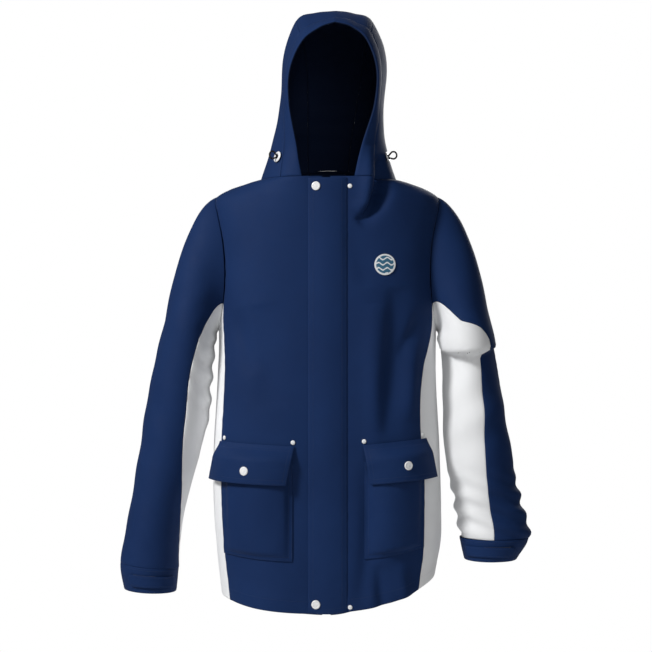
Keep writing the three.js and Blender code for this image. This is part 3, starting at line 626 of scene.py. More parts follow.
def noise(tree, scale, detail=3.0):
    coordinates = tree.nodes.new("ShaderNodeTexCoord")
    texture = tree.nodes.new("ShaderNodeTexNoise")
    set_inputs(texture, {"Scale": scale, "Detail": detail, "Roughness": 0.55})
    tree.links.new(coordinates.outputs["Object"], texture.inputs["Vector"])
    return texture.outputs["Fac"]


def colour_by(tree, shader, value, low, dark, high, light):
    colour = colour_ramp(tree, value, [(low, dark), (high, light)])
    tree.links.new(colour, shader.inputs["Base Color"])


def colour_ramp(tree, value, stops):
    node = tree.nodes.new("ShaderNodeValToRGB")
    while len(node.color_ramp.elements) < len(stops):
        node.color_ramp.elements.new(0.5)
    for element, (place, colour) in zip(node.color_ramp.elements, stops):
        element.position, element.color = place, (*colour, 1)
    tree.links.new(value, node.inputs["Fac"])
    return node.outputs["Color"]


def map_range(tree, value, low, high):
    node = tree.nodes.new("ShaderNodeMapRange")
    set_inputs(node, {"To Min": low, "To Max": high})
    tree.links.new(value, node.inputs["Value"])
    return node.outputs["Result"]


def weave(tree, pitch):
    """A plain weave: threads along two directions, pitch metres apart."""
    coordinates = tree.nodes.new("ShaderNodeTexCoord")
    bands = []
    for direction in ("DIAGONAL", "Z"):
        wave = tree.nodes.new("ShaderNodeTexWave")
        wave.bands_direction = direction
        set_inputs(wave, {"Scale": 0.314 / pitch, "Distortion": 0.6})
        tree.links.new(coordinates.outputs["Object"], wave.inputs["Vector"])
        bands.append(wave.outputs["Fac"])
    both = tree.nodes.new("ShaderNodeMath")
    both.operation = "MULTIPLY"
    tree.links.new(bands[0], both.inputs[0])
    tree.links.new(bands[1], both.inputs[1])
    return both.outputs["Value"]


def bump(tree, shader, height, strength, distance):
    node = tree.nodes.new("ShaderNodeBump")
    set_inputs(node, {"Strength": strength, "Distance": distance})
    tree.links.new(height, node.inputs["Height"])
    if shader.inputs["Normal"].is_linked:
        tree.links.new(shader.inputs["Normal"].links[0].from_socket, node.inputs["Normal"])
    tree.links.new(node.outputs["Normal"], shader.inputs["Normal"])


def fabric(name, dark, light, rough, pitch=0.0006, sheen=0.12, grain=0.25):
    material, tree, shader = node_material(name)
    colour_by(tree, shader, noise(tree, 7.0, 4.0), 0.3, dark, 0.7, light)
    tree.links.new(map_range(tree, noise(tree, 55.0), rough - 0.07, rough + 0.07), shader.inputs["Roughness"])
    bump(tree, shader, noise(tree, 160.0, 4.0), grain * 0.5, 0.0006)
    bump(tree, shader, weave(tree, pitch), grain, 0.0001)
    set_inputs(shader, {"Sheen Weight": sheen, "Specular IOR Level": 0.12, "Sheen Roughness": 0.45})
    return material


def hard(name, dark, light, rough, metallic=0.0, coat=0.0):
    material, tree, shader = node_material(name)
    colour_by(tree, shader, noise(tree, 90.0), 0.35, dark, 0.65, light)
    tree.links.new(map_range(tree, noise(tree, 400.0), rough - 0.06, rough + 0.08), shader.inputs["Roughness"])
    bump(tree, shader, noise(tree, 900.0), 0.12, 0.00008)
    set_inputs(shader, {"Metallic": metallic, "Coat Weight": coat})
    return material


def braid(name, dark, light):
    material, tree, shader = node_material(name)
    threads = weave(tree, 0.0009)
    colour_by(tree, shader, threads, 0.2, dark, 0.8, light)
    tree.links.new(map_range(tree, threads, 0.7, 0.5), shader.inputs["Roughness"])
    bump(tree, shader, threads, 0.6, 0.0003)
    return material


NAVY = fabric("navy_coated_cloth", (0.0052, 0.0205, 0.080), (0.0066, 0.0255, 0.096), 0.72, sheen=0.01)
WHITE = fabric("white_coated_cloth", (0.80, 0.81, 0.82), (0.87, 0.875, 0.885), 0.58, sheen=0.05)
LINING = fabric("lining", (0.004, 0.011, 0.036), (0.006, 0.015, 0.046), 0.8,
                sheen=0.02, pitch=0.0009, grain=0.4)
TAPE = fabric("binding_tape", (0.004, 0.012, 0.042), (0.006, 0.016, 0.054), 0.7, pitch=0.0011, grain=0.6)
THREAD = fabric("navy_thread", (0.010, 0.026, 0.085), (0.015, 0.036, 0.11), 0.6, pitch=0.0004)
PALE_THREAD = fabric("white_thread", (0.62, 0.63, 0.65), (0.72, 0.73, 0.75), 0.6, pitch=0.0004)
LABEL = fabric("label_satin", (0.66, 0.67, 0.69), (0.74, 0.75, 0.77), 0.42, pitch=0.0004, sheen=0.3)
ENAMEL = hard("white_enamel", (0.80, 0.81, 0.82), (0.88, 0.88, 0.88), 0.24, coat=0.5)
STEEL = hard("fastener_steel", (0.42, 0.43, 0.45), (0.56, 0.57, 0.58), 0.3, metallic=1.0)
PLASTIC = hard("black_plastic", (0.012, 0.012, 0.014), (0.022, 0.022, 0.025), 0.42)
CORD = braid("black_cord", (0.004, 0.004, 0.005), (0.02, 0.02, 0.022))
FUZZ = fabric("hook_and_loop", (0.008, 0.010, 0.018), (0.022, 0.026, 0.042), 0.95,
              sheen=0.4, pitch=0.0012, grain=1.0)
PATCH_FIELD = fabric("patch_teal", (0.035, 0.12, 0.20), (0.05, 0.16, 0.26), 0.7, pitch=0.0007, grain=0.8)
PATCH_WHITE = fabric("patch_white", (0.72, 0.74, 0.76), (0.82, 0.83, 0.85), 0.6, pitch=0.0007, grain=0.8)


# ---------- putting a piece in place ----------
def settle(piece, nodes, slot, body=None, bend=None):
    if bend:
        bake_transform(piece)
    else:
        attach(piece, body)
    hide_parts(*nodes)


def declare_cloth(on_top):
    """Measures the width and the length of a piece's outside; nothing uses them."""
    t = np.linspace(0, 1, 40)
    places = [np.full(len(t), share) for share in (0.02, 0.5, 0.98)]
    width = float(max(spacing(on_top(t, v)[0]).sum() for v in places)) / 1000
    longest = float(max(spacing(on_top(u, t)[0]).sum() for u in places)) / 1000


def panel(name, surface, cloth, body=None, bend=None, lines=(), sewn=(), inner=-CLOTH, outer=0.0, facing=1,
          folds=None, move=None, pitch=4.0):
    """A piece of cloth in a CAD node's place. cloth is its slot and its materials."""
    slot, *materials = cloth
    size = size_of(surface)

    def all_folds(points, u, v):
        depth = folds(points, u, v) if folds else np.zeros(len(points))
        return depth + pucker(points, u, v, size, sewn)

    build, on_top = cloth_shell(surface, inner, outer, facing, all_folds, move, pitch)
    for ends in lines:
        sew(build, on_top, ends)
    piece = build.object(name + "_cloth", materials)
    settle(piece, [name], slot, body, bend)
    declare_cloth(on_top)


# Each cloth: its slot, then the materials of its outside, its inside and its thread.
NAVY_CLOTH = ("navy_fabric", NAVY, LINING, THREAD)
WHITE_CLOTH = ("white_fabric", WHITE, LINING, PALE_THREAD)
LINING_CLOTH = ("lining_fabric", LINING, LINING, THREAD)
LABEL_CLOTH = ("label_fabric", LABEL, LABEL, THREAD)
TAPE_CLOTH = ("navy_tape", TAPE, TAPE, THREAD)
LOOP_PAD_CLOTH = ("hook_and_loop", FUZZ, LINING, THREAD)
HOOK_CLOTH = ("hook_and_loop", FUZZ, TAPE, THREAD)
LOOP_CLOTH = ("hook_and_loop", TAPE, FUZZ, THREAD)
ENAMELLED = ("white_enamel", ENAMEL)
STEELY = ("fastener_steel", STEEL)
HEM_TURNED = 22
HEM_STITCHED = 21
ROWS = [HEM_Z, -690, -600, -510, -430, -350, -285, APEX_Z, -185, -135, -95, -70, -54, -42, -32, -24, NECK_Z]


def row_height(v, rows=len(ROWS) - 1):
    return np.interp(v * rows, np.arange(len(ROWS)), ROWS)


def row_share(z):
    return np.interp(z, ROWS, np.arange(len(ROWS))) / (len(ROWS) - 1)


def torso_folds(points, u=None, v=None):
    return body_folds(points) * quiet_seams(points)


def hem_band(u, v):
    """A hem is turned up once, so the cloth is thicker there."""
    return 0.7 * (1 - ramp(v, row_share(HEM_Z + HEM_TURNED), row_share(HEM_Z + HEM_TURNED + 3)))


HEM_SHARE = row_share(HEM_Z + HEM_STITCHED)
HEM_LINE = ((0.01, HEM_SHARE), (0.99, HEM_SHARE))


# ---------- body ----------
def front_panel(name):
    side = SIDES[name]
    edge = turn_at(ZIP_X + side * PANEL_EDGE, ARMHOLE_Z)[0]

    def surface(u, v):
        z = row_height(v)
        return torso(mix(edge, side * (1 - side_gap(name, z)), u), z)

    lines = inset_lines(size_of(surface), [("u0", 3), ("u1", 3), ("u1", 8)]) + [HEM_LINE]
    panel(f"front_panel_{name}", surface, NAVY_CLOTH, "root", lines=lines, sewn=("u1",), outer=hem_band,
          facing=side, folds=torso_folds, move=drape)


def back_panel():
    def surface(u, v):
        z = row_height(v)
        return torso(mix(1 + side_gap("left", z), 3 - side_gap("right", z), u), z)

    lines = inset_lines(size_of(surface), [("u0", 3), ("u1", 3)]) + [HEM_LINE]
    panel("back_panel", surface, NAVY_CLOTH, "root", lines=lines, sewn=("u0", "u1"), outer=hem_band,
          folds=torso_folds, move=drape, pitch=6.0)


def side_panel(name):
    side = SIDES[name]
    top = side_gap(name, np.array([APEX_Z]))[0]
    rows = ROWS.index(APEX_Z)

    def surface(u, v):
        place = mix(-1, 1, u)
        arch = np.sqrt(1 - (place * top / ARMHOLE_TURN) ** 2)
        top_z = ARMHOLE_Z - ARMHOLE_HALF * arch
        z = mix(HEM_Z, top_z, (row_height(v, rows) - HEM_Z) / (APEX_Z - HEM_Z))
        return torso(side * (1 + place * side_gap(name, np.minimum(z, APEX_Z))), z)

    hem = HEM_SHARE * (len(ROWS) - 1) / rows
    panel(f"side_panel_{name}", surface, WHITE_CLOTH, "root", lines=[((0.02, hem), (0.98, hem))],
          sewn=("u0", "u1"), facing=side, folds=torso_folds, move=drape, pitch=6.0)


# ---------- sleeves ----------
def sleeve_bend(name):
    """The sleeve's cloth turns between the armhole and the upper arm, further down on its inner side."""
    side = SIDES[name]
    start, reach = np.array([side * 202, 0, -282]), 120
    end = start + reach * np.array([side, 0, -0.35])
    return "root", f"sleeve_{name}", to_frame(start), to_frame(end)


def sleeve_panels(name):
    side = SIDES[name]

    def seams(v):
        return rows_at(UNDER_SEAM[name], v * CUFF_SHARE)

    def outer_cut(u, v):
        front, back = seams(v)
        return mix(180 + back, 540 - front, u), v * CUFF_SHARE

    def under_cut(u, v):
        front, back = seams(v)
        return mix(180 - front, 180 + back, u), v * CUFF_SHARE

    def cuff_cut(u, v):
        return mix(0.4, 359.6, u), mix(CUFF_SHARE, 1, v)

    def laid(cut):
        return lambda u, v: sleeve(name, *cut(u, v))

    def folded(cut):
        return lambda points, u, v: sleeve_folds(name, points, *cut(u, v))

    seam_lines = [((0.012, 0.02), (0.012, 0.98)), ((0.988, 0.02), (0.988, 0.98))]
    for kind, cut, cloth, lines in (("outer", outer_cut, NAVY_CLOTH, seam_lines),
                                    ("under", under_cut, WHITE_CLOTH, [])):
        panel(f"sleeve_{kind}_{name}", laid(cut), cloth, bend=sleeve_bend(name), lines=lines,
              sewn=("u0", "u1"), facing=side, folds=folded(cut))
    panel(f"cuff_{name}", laid(cuff_cut), NAVY_CLOTH, f"sleeve_{name}",
          lines=[((0.01, 0.1), (0.99, 0.1)), ((0.01, 0.86), (0.99, 0.86))], outer=0.6, facing=side,
          folds=lambda points, u, v: swells(points, 25, 60) * 0.7 * ramp(v, 0, 0.3))
    cuff_tab(name, side)


def cuff_tab(name, side):
    """The cuff's tab, sewn down at one end, and the loop pad that it closes on."""
    def pad(u, v):
        return sleeve(name, mix(*LOOP_PAD_TURN, u), mix(TAB_LOW, TAB_HIGH, v))

    def tab(u, v):
        """The tab's free end is cut round."""
        tip = 1 - 0.55 * ramp(1 - u, 0.93, 1.0)
        return sleeve(name, mix(*TAB_TURN, u), mix(TAB_LOW, TAB_HIGH, 0.5 + (v - 0.5) * tip))

    panel(f"cuff_loop_pad_{name}", pad, LOOP_PAD_CLOTH, f"sleeve_{name}", inner=0.9, outer=1.7,
          facing=side, pitch=3.0)
    start, end = (to_frame(sleeve(name, degrees, TAB_LOW)[0]) for degrees in TAB_BEND)
    lines = [((0.03, 0.14), (0.97, 0.14)), ((0.03, 0.86), (0.97, 0.86)), ((0.95, 0.14), (0.95, 0.86))]
    panel(f"cuff_tab_{name}", tab, NAVY_CLOTH, bend=(f"sleeve_{name}", f"cuff_tab_{name}", start, end),
          lines=lines, inner=2.2, outer=4.0, facing=side, pitch=3.0)


# ---------- hood ----------
def hood_bend():
    """The hood's cloth turns in a short band above the neck seam, which slopes up to the nape."""
    slope = unit(np.array([0, -0.14, 1.0]))
    start = np.array([0, -101, NECK_Z + 0.5])
    return "root", "hood", to_frame(start), to_frame(start + 27 * slope)


def hood_panel(name, cut, **more):
    """A panel of the hood; cut gives the side, the place along and the place back at each (u, v)."""
    panel(name, lambda u, v: hood(*cut(u, v)), NAVY_CLOTH, bend=hood_bend(),
          folds=lambda points, u, v: hood_folds(points, *cut(u, v)[1:]), move=drape, **more)


def hood_panels():
    for name, side in SIDES.items():
        def side_cut(u, v):
            return side, v * CROWN, mix(RIM_SHARE, 1, u)

        hood_panel(f"hood_side_{name}", side_cut, sewn=("v1", "u0"), facing=side,
                   lines=[((0.02, 0.985), (0.98, 0.985)), ((0.012, 0.03), (0.012, 0.98))])

    def over(u, v, reach, back):
        """Across the top of the hood, reach being how far down each side it comes."""
        place = mix(-1, 1, u)
        return np.where(place < 0, -1, 1), 1 - np.abs(place) * reach, back

    def center_cut(u, v):
        return over(u, v, 1 - CROWN, mix(RIM_SHARE, 1, v))

    def rim_cut(u, v):
        return over(u, v, 1, v * RIM_SHARE)

    def tunnel(u, v):
        return 0.2 + 1.6 * np.sin(np.pi * v) ** 0.7

    hood_panel("hood_center_panel", center_cut, sewn=("u0", "u1"), pitch=5.0,
               lines=[((0.03, 0.01), (0.03, 0.99)), ((0.97, 0.01), (0.97, 0.99))])
    hood_panel("hood_rim", rim_cut, sewn=("v1",), inner=-CLOTH - 1.0, outer=tunnel,
               lines=[((0.01, 0.9), (0.99, 0.9))])


# ---------- places on the draped cloth ----------
def on_front(x, z, lift=0.0):
    """Points lift millimetres outside the draped front of the body, and the normals there."""
    x, z = floats(x, z)
    base = torso_front(x, z)
    across = torso_front(x + 0.5, z) - torso_front(x - 0.5, z)
    upward = torso_front(x, z + 0.5) - torso_front(x, z - 0.5)
    normal = unit(np.cross(across, upward))
    rise = lift + torso_folds(base)
    return base + normal * np.reshape(rise, (-1, 1)) + drape(base), normal


def seat_of(node, toward):
    """Foot and axis of a round CAD piece, its axis turned towards a direction."""
    corners = np.array([corner.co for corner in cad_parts[node].data.vertices])
    corners = corners * 1000 + LOOP_PLACE
    centre = (corners.max(axis=0) + corners.min(axis=0)) / 2
    axis = np.linalg.svd(corners - corners.mean(axis=0), full_matrices=False)[2][2]
    axis = axis if axis @ np.array(toward, float) > 0 else -axis
    return centre + axis * ((corners - centre) @ axis).min(), axis


def on_cloth(node, toward=(0, -1, 0)):
    """The seat of a CAD piece on the front of the body, moved along with the folds under it."""
    place, axis = seat_of(node, toward)
    base = torso_front(place[0], place[2])
    moved, normal = on_front(place[0], place[2])
    return place + (moved - base)[0], axis


# ---------- turned pieces: eyelets, snap fasteners, rivets ----------
CAP = [(7.4, 0), (7.8, 0.35), (7.6, 0.9), (6.9, 1.5), (5.6, 1.95), (5.1, 1.7), (3.4, 1.75), (1.6, 2.1),
       (0.5, 2.2)]
SOCKET = [(2.4, 0), (5.4, 0), (5.4, 0.6), (5.0, 0.9), (2.8, 0.9), (2.4, 0.6)]
STUD = [(5.3, 0), (5.4, 0.3), (5.0, 0.55), (2.0, 0.7), (1.4, 0.9), (1.7, 1.4), (1.3, 1.75), (0.4, 1.8)]
RIVET = [(3.8, 0), (4.0, 0.3), (3.6, 0.9), (2.4, 1.4), (0.5, 1.6)]
EYELET = [(4.0, 0), (9.6, 0), (10.0, 0.4), (9.4, 1.1), (7.4, 1.6), (5.4, 1.8), (4.3, 1.5)]
SEGMENTS = 40


def turned(node, profile, seat, stuff, body, ring=False):
    """A turned piece in a CAD node's place, from [radius, height] pairs that run up its outside."""
    place, normal = seat
    slot, material = stuff
    sideways = unit(np.cross(normal, (0.3, 0.2, 0.9)))
    other = np.cross(normal, sideways)
    angle = np.linspace(0, 2 * np.pi, SEGMENTS, endpoint=False)
    around = np.outer(np.cos(angle), sideways) + np.outer(np.sin(angle), other)
    points = [place + radius * around + height * normal for radius, height in profile]
    build = Build()
    build.add(np.concatenate(points), ring_faces(len(profile), SEGMENTS, ring))
    if not ring:
        build.faces.append(list(range(SEGMENTS))[::-1])
        build.faces.append([(len(profile) - 1) * SEGMENTS + k for k in range(SEGMENTS)])
        build.slots += [0, 0]
    settle(build.object(node + "_turned", [material]), [node], slot, body)


def snap(name, body):
    """A snap fastener: the cap and socket move with a flap, and the stud stays on the front."""
    cap, socket, stud = (f"{name}_snap_{part}" for part in ("cap", "socket", "stud"))
    turned(cap, CAP, on_cloth(cap), ENAMELLED, body)
    turned(socket, SOCKET, on_cloth(socket, (0, 1, 0)), STEELY, body, ring=True)
    turned(stud, STUD, on_cloth(stud), STEELY, "root")


def rivet(node):
    turned(node, RIVET, on_cloth(node), ENAMELLED, "root")


# ---------- front closure ----------
def strip(x0, x1, z0, z1):
    return lambda u, v: torso_front(mix(x0, x1, u), mix(z0, z1, v))


def edge_lines(surface, away, edges=("u0", "u1", "v0")):
    return inset_lines(size_of(surface), [(edge, far) for far in away for edge in edges])


def zip_teeth(name):
    """Moulded teeth, one by one, each narrower where it meets the other side's."""
    side, pitch = SIDES[name], 2.6
    start = ZIP_BOTTOM_Z + 14 + (0 if side > 0 else pitch / 2)
    heights = np.arange(start, ZIP_TOP_Z - 1, pitch)
    build = Build()
    rows = []
    for reach, half in ((3.2, 0.55), (1.6, 0.55), (1.2, 0.85), (0.3, 0.6)):
        for tall, lift in ((-half, -2.9), (half, -2.9), (half, -0.7), (-half, -0.7)):
            rows.append(on_front(ZIP_X + side * reach, heights + tall, lift)[0])
    points = np.stack(rows, axis=1)
    shape = [[3, 2, 1, 0], [12, 13, 14, 15]]
    for i in range(3):
        for k in range(4):
            a, b = i * 4 + k, i * 4 + (k + 1) % 4
            shape.append([a, b, b + 4, a + 4])
    faces = (np.arange(len(heights))[:, None, None] * 16 + np.array(shape)).reshape(-1, 4)
    build.add(points.reshape(-1, 3), faces)
    build.turned_out()
    settle(build.object(f"zip_teeth_{name}_row", [PLASTIC], smooth=False), [f"zip_teeth_{name}"],
           "black_plastic", "root")


def front_closure():
    for name, side in SIDES.items():
        tape = strip(ZIP_X + side * 3.7, ZIP_X + side * 16, ZIP_BOTTOM_Z, -38)
        panel(f"zip_tape_{name}", tape, TAPE_CLOTH, "root", lines=edge_lines(tape, (3,), ("u1",)),
              inner=-3.1, outer=-2.3, facing=side, folds=torso_folds, move=drape)
        zip_teeth(name)

    flap = strip(FLAP_SEWN_X, FLAP_SEWN_X - FLAP_WIDTH, FLAP_BOTTOM_Z, FLAP_TOP_Z)
    strips = strip(FLAP_SEWN_X - FLAP_WIDTH * STRIP_NEAR, FLAP_SEWN_X - FLAP_WIDTH * STRIP_FAR,
                   STRIP_BOTTOM_Z, STRIP_TOP_Z)

    def lift(u):
        return GAP + FLAP_RISE * np.sin(np.pi * u)

    def flap_folds(points, u, v):
        """The flap follows the body, and its free edge waves a little on its own."""
        own = swells(points, 51, 130, (1, 1, 1.4)) * ramp(u, 0.3, 1.0) * 0.9
        return torso_folds(points) + np.maximum(own, -0.15)

    def on_flap(u):
        """The place across the flap of a place across the strip behind it."""
        return mix(STRIP_NEAR, STRIP_FAR, u)

    bend = ("root", "storm_flap", to_frame((FLAP_SEWN_X, -120, -396)), to_frame((FLAP_SEWN_X - 10, -120, -396)))
    panel("storm_flap", flap, NAVY_CLOTH, bend=bend, lines=edge_lines(flap, (2.5, 9)), sewn=("u0",),
          inner=lambda u, v: lift(u) - 0.4 * (1 - ramp(u, 0, 0.1)),
          outer=lambda u, v: lift(u) + mix(0.5, FOLDED, ramp(u, 0, 0.14)),
          facing=-1, folds=flap_folds, move=drape, pitch=4.5)
    panel("front_hook_strip", strips, HOOK_CLOTH, "root", lines=edge_lines(strips, (1.2,), ("u0", "u1")),
          inner=0.3, outer=1.1, facing=-1, folds=torso_folds, move=drape)
    panel("flap_loop_strip", strips, LOOP_CLOTH, "storm_flap",
          inner=lambda u, v: lift(on_flap(u)) - 0.9, outer=lambda u, v: lift(on_flap(u)) - 0.3,
          facing=-1, folds=lambda points, u, v: flap_folds(points, on_flap(u), v), move=drape)
    for place in ("neck", "hem"):
        snap(place, "storm_flap")
        rivet(f"{place}_rivet")


# ---------- pockets ----------
def pocket(name):
    side, plan = SIDES[name], POCKETS[name]
    inner, outer = plan["inner"], plan["outer"]

    def bulge(u):
        return POUCH_EDGE + (POUCH_DEPTH - POUCH_EDGE) * np.sin(np.pi * u)

    def pouch(u, v):
        return torso_front(side * mix(inner + 3, outer - 4, u), mix(POUCH_BOTTOM_Z, POUCH_TOP_Z, v))

    width = outer - inner - 7
    height = POUCH_TOP_Z - POUCH_BOTTOM_Z

    def pouch_lift(u, v):
        """The pouch rises from its stitched edges on a narrow gusset and stands open at the top."""
        from_edge = np.minimum(np.minimum(u, 1 - u) * width, v * height)
        full = bulge(u) * (0.55 + 0.45 * np.sin(np.pi * v / 2))
        return mix(2.0, full - 0.6, ramp(from_edge, 3, 15))

    def pouch_folds(points, u, v):
        own = swells(points, 61 + side, 80, (1, 1, 1.5)) * 1.3 * np.sin(np.pi * u) * ramp(v, 0.05, 0.3)
        return torso_folds(points) + np.minimum(own, 0.4)

    panel(f"pocket_pouch_{name}", pouch, NAVY_CLOTH, "root", lines=edge_lines(pouch, (1.8, 8)),
          sewn=("u0", "u1", "v0"),
          inner=lambda u, v: pouch_lift(u, v) - CLOTH, outer=pouch_lift, facing=side,
          folds=pouch_folds, move=drape, pitch=3.6)

    def flap(u, v):
        x = mix(inner, outer, u) + plan["flare"] * (1 - v)
        z = mix(plan["inner_z"], plan["outer_z"], u) - POCKET_FLAP_DROP * (1 - v)
        return torso_front(side * x, z)

    def flap_lift(u, v):
        return mix(1.0, bulge(u) + FLAP_OVER_POUCH, ramp(1 - v, 0, 0.42))

    def flap_folds(points, u, v):
        corner = (1 - u) ** 3 * (1 - v) ** 2 * (4.0 if name == "right" else 1.5)
        own = swells(points, 71 + side, 70) * 0.7 * (1 - v)
        return torso_folds(points) + corner + np.maximum(own, 0)

    top = torso_front(side * (inner + outer) / 2, plan["inner_z"])[0]
    bend = ("root", f"pocket_flap_{name}", to_frame(top), to_frame(top + (0, 0, -9)))
    panel(f"pocket_flap_{name}", flap, NAVY_CLOTH, bend=bend,
          lines=edge_lines(flap, (2.5, 9), ("u0", "u1", "v0", "v1")), sewn=("v1",),
          inner=flap_lift, outer=lambda u, v: flap_lift(u, v) + FOLDED, facing=side,
          folds=flap_folds, move=drape, pitch=3.6)
    snap(f"pocket_{name}", f"pocket_flap_{name}")
    for place in ("inner", "outer"):
        rivet(f"pocket_rivet_{place}_{name}")


# ---------- badge, neck facing, label, hanger loop ----------
def chest_badge():
    """A plain round patch: a white rim, a teal field and three white waves."""
    spokes, step = 96, 0.75
    radii = np.arange(0.5, BADGE_RADIUS + 0.01, step)
    radius, angle = np.meshgrid(radii, np.linspace(0, 2 * np.pi, spokes, endpoint=False), indexing="ij")
    x, z = (radius * np.cos(angle)).ravel(), (radius * np.sin(angle)).ravel()
    rim = ramp(BADGE_RADIUS - radius.ravel(), 0, 0.8)
    top, _ = on_front(BADGE_X + x, BADGE_Z + z, 1.3 + 0.5 * rim)
    foot, _ = on_front(BADGE_X + x, BADGE_Z + z, 0.8)
    faces = ring_faces(len(radii), spokes)
    middle_x, middle_z = x[faces].mean(axis=1), z[faces].mean(axis=1)
    wave = (middle_z - 2.0 * np.sin(middle_x * 2 * np.pi / 15)) % 9.0
    pale = (np.hypot(middle_x, middle_z) > BADGE_RADIUS - 3) | (wave < 2.6)
    build = Build()
    build.add(top, faces[:, ::-1], pale.astype(int))
    build.add(foot, faces, 0)
    count, last = len(top), (len(radii) - 1) * spokes
    for k in range(spokes):
        beside = (k + 1) % spokes
        build.faces.append([last + k, last + beside, count + last + beside, count + last + k])
        build.slots.append(1)
    build.faces.append(list(range(spokes)))
    build.faces.append([count + k for k in range(spokes)][::-1])
    build.slots += [0, 0]
    piece = build.object("chest_badge_patch", [PATCH_FIELD, PATCH_WHITE])
    settle(piece, ["chest_badge"], "badge_fabric", "root")


def neck_parts():
    def inside_back(half_width, low, high):
        def surface(u, v):
            turn = FLAT_SHARE * mix(half_width, -half_width, u) / FLAT_HALF
            return torso(2 - turn, mix(low, high, v))
        return surface

    facing = inside_back(48, -58, -19)
    panel("neck_facing", facing, LINING_CLOTH, "root", inner=-4.2, outer=-3.2, folds=torso_folds, move=drape)
    label = inside_back(16, -56, -42)
    panel("size_label", label, LABEL_CLOTH, "root", inner=-5.5, outer=-4.7, folds=torso_folds, move=drape,
          pitch=2.0)


def hanger_loop():
    """A tape that leaves the back of the neck on each side and stands out in the middle."""
    face_y = torso(2, NECK_Z)[0, 1] - 4.7
    half = [(31, face_y, 0), (30, face_y - 7, -0.5), (17, 67.6, -3)]
    knots = half + [LOOP_PLACE] + [(-x, y, z) for x, y, z in reversed(half)]
    steps = 60
    line = through(np.arange(len(knots)), knots, np.linspace(0, len(knots) - 1, steps))
    run = unit(np.gradient(line, axis=0))
    up = np.tile([0.0, 0.0, 1.0], (steps, 1))
    across = unit(np.cross(run, up))
    section = [(-0.8, -3.0), (-0.4, -3.5), (0.4, -3.5), (0.8, -3.0), (0.8, 3.0), (0.4, 3.5), (-0.4, 3.5),
               (-0.8, 3.0)]
    points = np.stack([line + across * a + up * b for a, b in section], axis=1)
    sides = len(section)
    faces = ring_faces(steps, sides)[:, [0, 3, 2, 1]]
    build = Build()
    build.add(points.reshape(-1, 3), faces)
    build.turned_out()
    flipped = build.faces[0] != faces[0].tolist()
    ends = [list(range(sides)), [(steps - 1) * sides + k for k in range(sides)][::-1]]
    build.faces += [end[::-1] for end in ends] if flipped else ends
    build.slots += [0, 0]
    settle(build.object("hanger_loop_tape", [TAPE]), ["hanger_loop"], "navy_tape", "root")


# ---------- eyelets and drawcord ----------
def eyelet_seat(name):
    """Where the eyelet sits on the draped hood: its foot and its outward direction."""
    side, back, along = SIDES[name], EYELET_BACK[name], EYELET_ALONG

    def surface(u, v):
        return hood(side, v, u)

    u, v = np.array([back]), np.array([along])
    base = surface(u, v)
    normal = normals_of(surface, u, v, side)
    place = base + normal * (EYELET_LIFT + hood_folds(base, v, u))[:, None] + drape(base)
    return place[0], normal[0]


def drawcord(name):
    seat, normal = eyelet_seat(name)
    down = unit(np.array([0, 0, -1.0]) + normal * normal[2])
    beside = np.cross(down, normal)
    route = np.array([seat + down * along + normal * out for along, out in CORD_ROUTE])
    line = to_frame(through(np.arange(len(route)), route, np.linspace(0, len(route) - 1, 60)))
    length = spacing(line).sum()
    curve = bpy.data.curves.new(f"drawcord_{name}", "CURVE")
    curve.dimensions = "3D"
    curve.bevel_depth = CORD_DIAMETER / 2000
    curve.bevel_resolution = 4
    spline = curve.splines.new("POLY")
    spline.points.add(len(line) - 1)
    for point, place in zip(spline.points, line):
        point.co = (*place, 1)
    curve.materials.append(CORD)
    piece = added(f"drawcord_loop_{name}_cord", curve)
    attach(piece, f"drawcord_{name}")
    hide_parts(f"drawcord_loop_{name}")
    tuple(to_frame(seat))


# ---------- camera, light and floor ----------
CAMERA_PLACE = (-3.6, -3000, -277)
LENS = 92
SENSOR = 36
# Each light: its place and size in metres, and its power in watts.
LIGHTS = {
    "back_light": ((1.2, 3.0, 1.0), 1.8, 60),
    "key_light": ((-2.3, -1.8, 1.6), 0.8, 105),
    "fill_light": ((0.7, -3.2, 0.5), 2.2, 17),
}
LIT_PLACE = (0, -0.1, -0.35)
ROOM_LIGHT = 0.13
FLOOR_REACH = 1.9
FLOOR_Z = -1.35
CORNERS = ((-1, -1), (1, -1), (1, 1), (-1, 1))


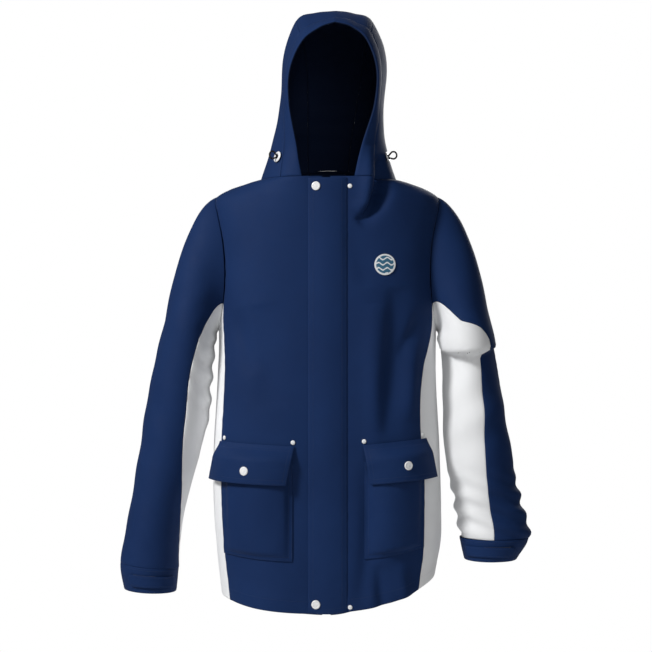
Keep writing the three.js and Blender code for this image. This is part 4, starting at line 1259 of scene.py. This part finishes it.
def look_at(thing, place, target):
    thing.location = place
    thing.rotation_euler = (Vector(target) - Vector(place)).to_track_quat("-Z", "Y").to_euler()


def camera():
    data = bpy.data.cameras.new("camera")
    data.lens = LENS
    data.sensor_width = SENSOR
    thing = added("camera", data)
    place = to_frame(CAMERA_PLACE)
    look_at(thing, place, place + (0, 1, 0))
    bpy.context.scene.camera = thing


def soft_light(name, place, size, power):
    data = bpy.data.lights.new(name, "AREA")
    data.shape = "DISK"
    data.size = size
    data.energy = power
    thing = added(name, data)
    look_at(thing, place, LIT_PLACE)
    return thing


def floor():
    mesh = bpy.data.meshes.new("floor")
    places = [(x * FLOOR_REACH, y * FLOOR_REACH, FLOOR_Z) for x, y in CORNERS]
    mesh.from_pydata(places, [], [(0, 1, 2, 3)])
    pale, tree, shader = node_material("pale_floor")
    colour_by(tree, shader, noise(tree, 3.0), 0.3, (0.86, 0.86, 0.86), 0.7, (0.9, 0.9, 0.9))
    mesh.materials.append(pale)
    return added("floor", mesh)


def studio():
    bpy.context.scene.view_settings.view_transform = "Standard"
    lights = [soft_light(name, *plan) for name, plan in LIGHTS.items()]
    floor()
    world = bpy.data.worlds.new("studio")
    bpy.context.scene.world = world
    world.use_nodes = True
    tree = world.node_tree
    path = tree.nodes.new("ShaderNodeLightPath")
    strength = map_range(tree, path.outputs["Is Camera Ray"], ROOM_LIGHT, 1.0)
    background = tree.nodes["Background"]
    set_inputs(background, {"Color": (1, 1, 1, 1)})
    tree.links.new(strength, background.inputs["Strength"])


# ---------- the jacket ----------
camera()
studio()
for name in SIDES:
    drawcord(name)
for name in SIDES:
    front_panel(name)
    side_panel(name)
    sleeve_panels(name)
    pocket(name)
back_panel()
hood_panels()
for name in SIDES:
    turned(f"hood_eyelet_{name}", EYELET, eyelet_seat(name), ENAMELLED, "hood", ring=True)
front_closure()
chest_badge()
neck_parts()
hanger_loop()
for node in ("zip_bottom_box", "zip_slider", "zip_pull"):
    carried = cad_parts[node]
    carried.data.materials.clear()
    carried.data.materials.append(PLASTIC)
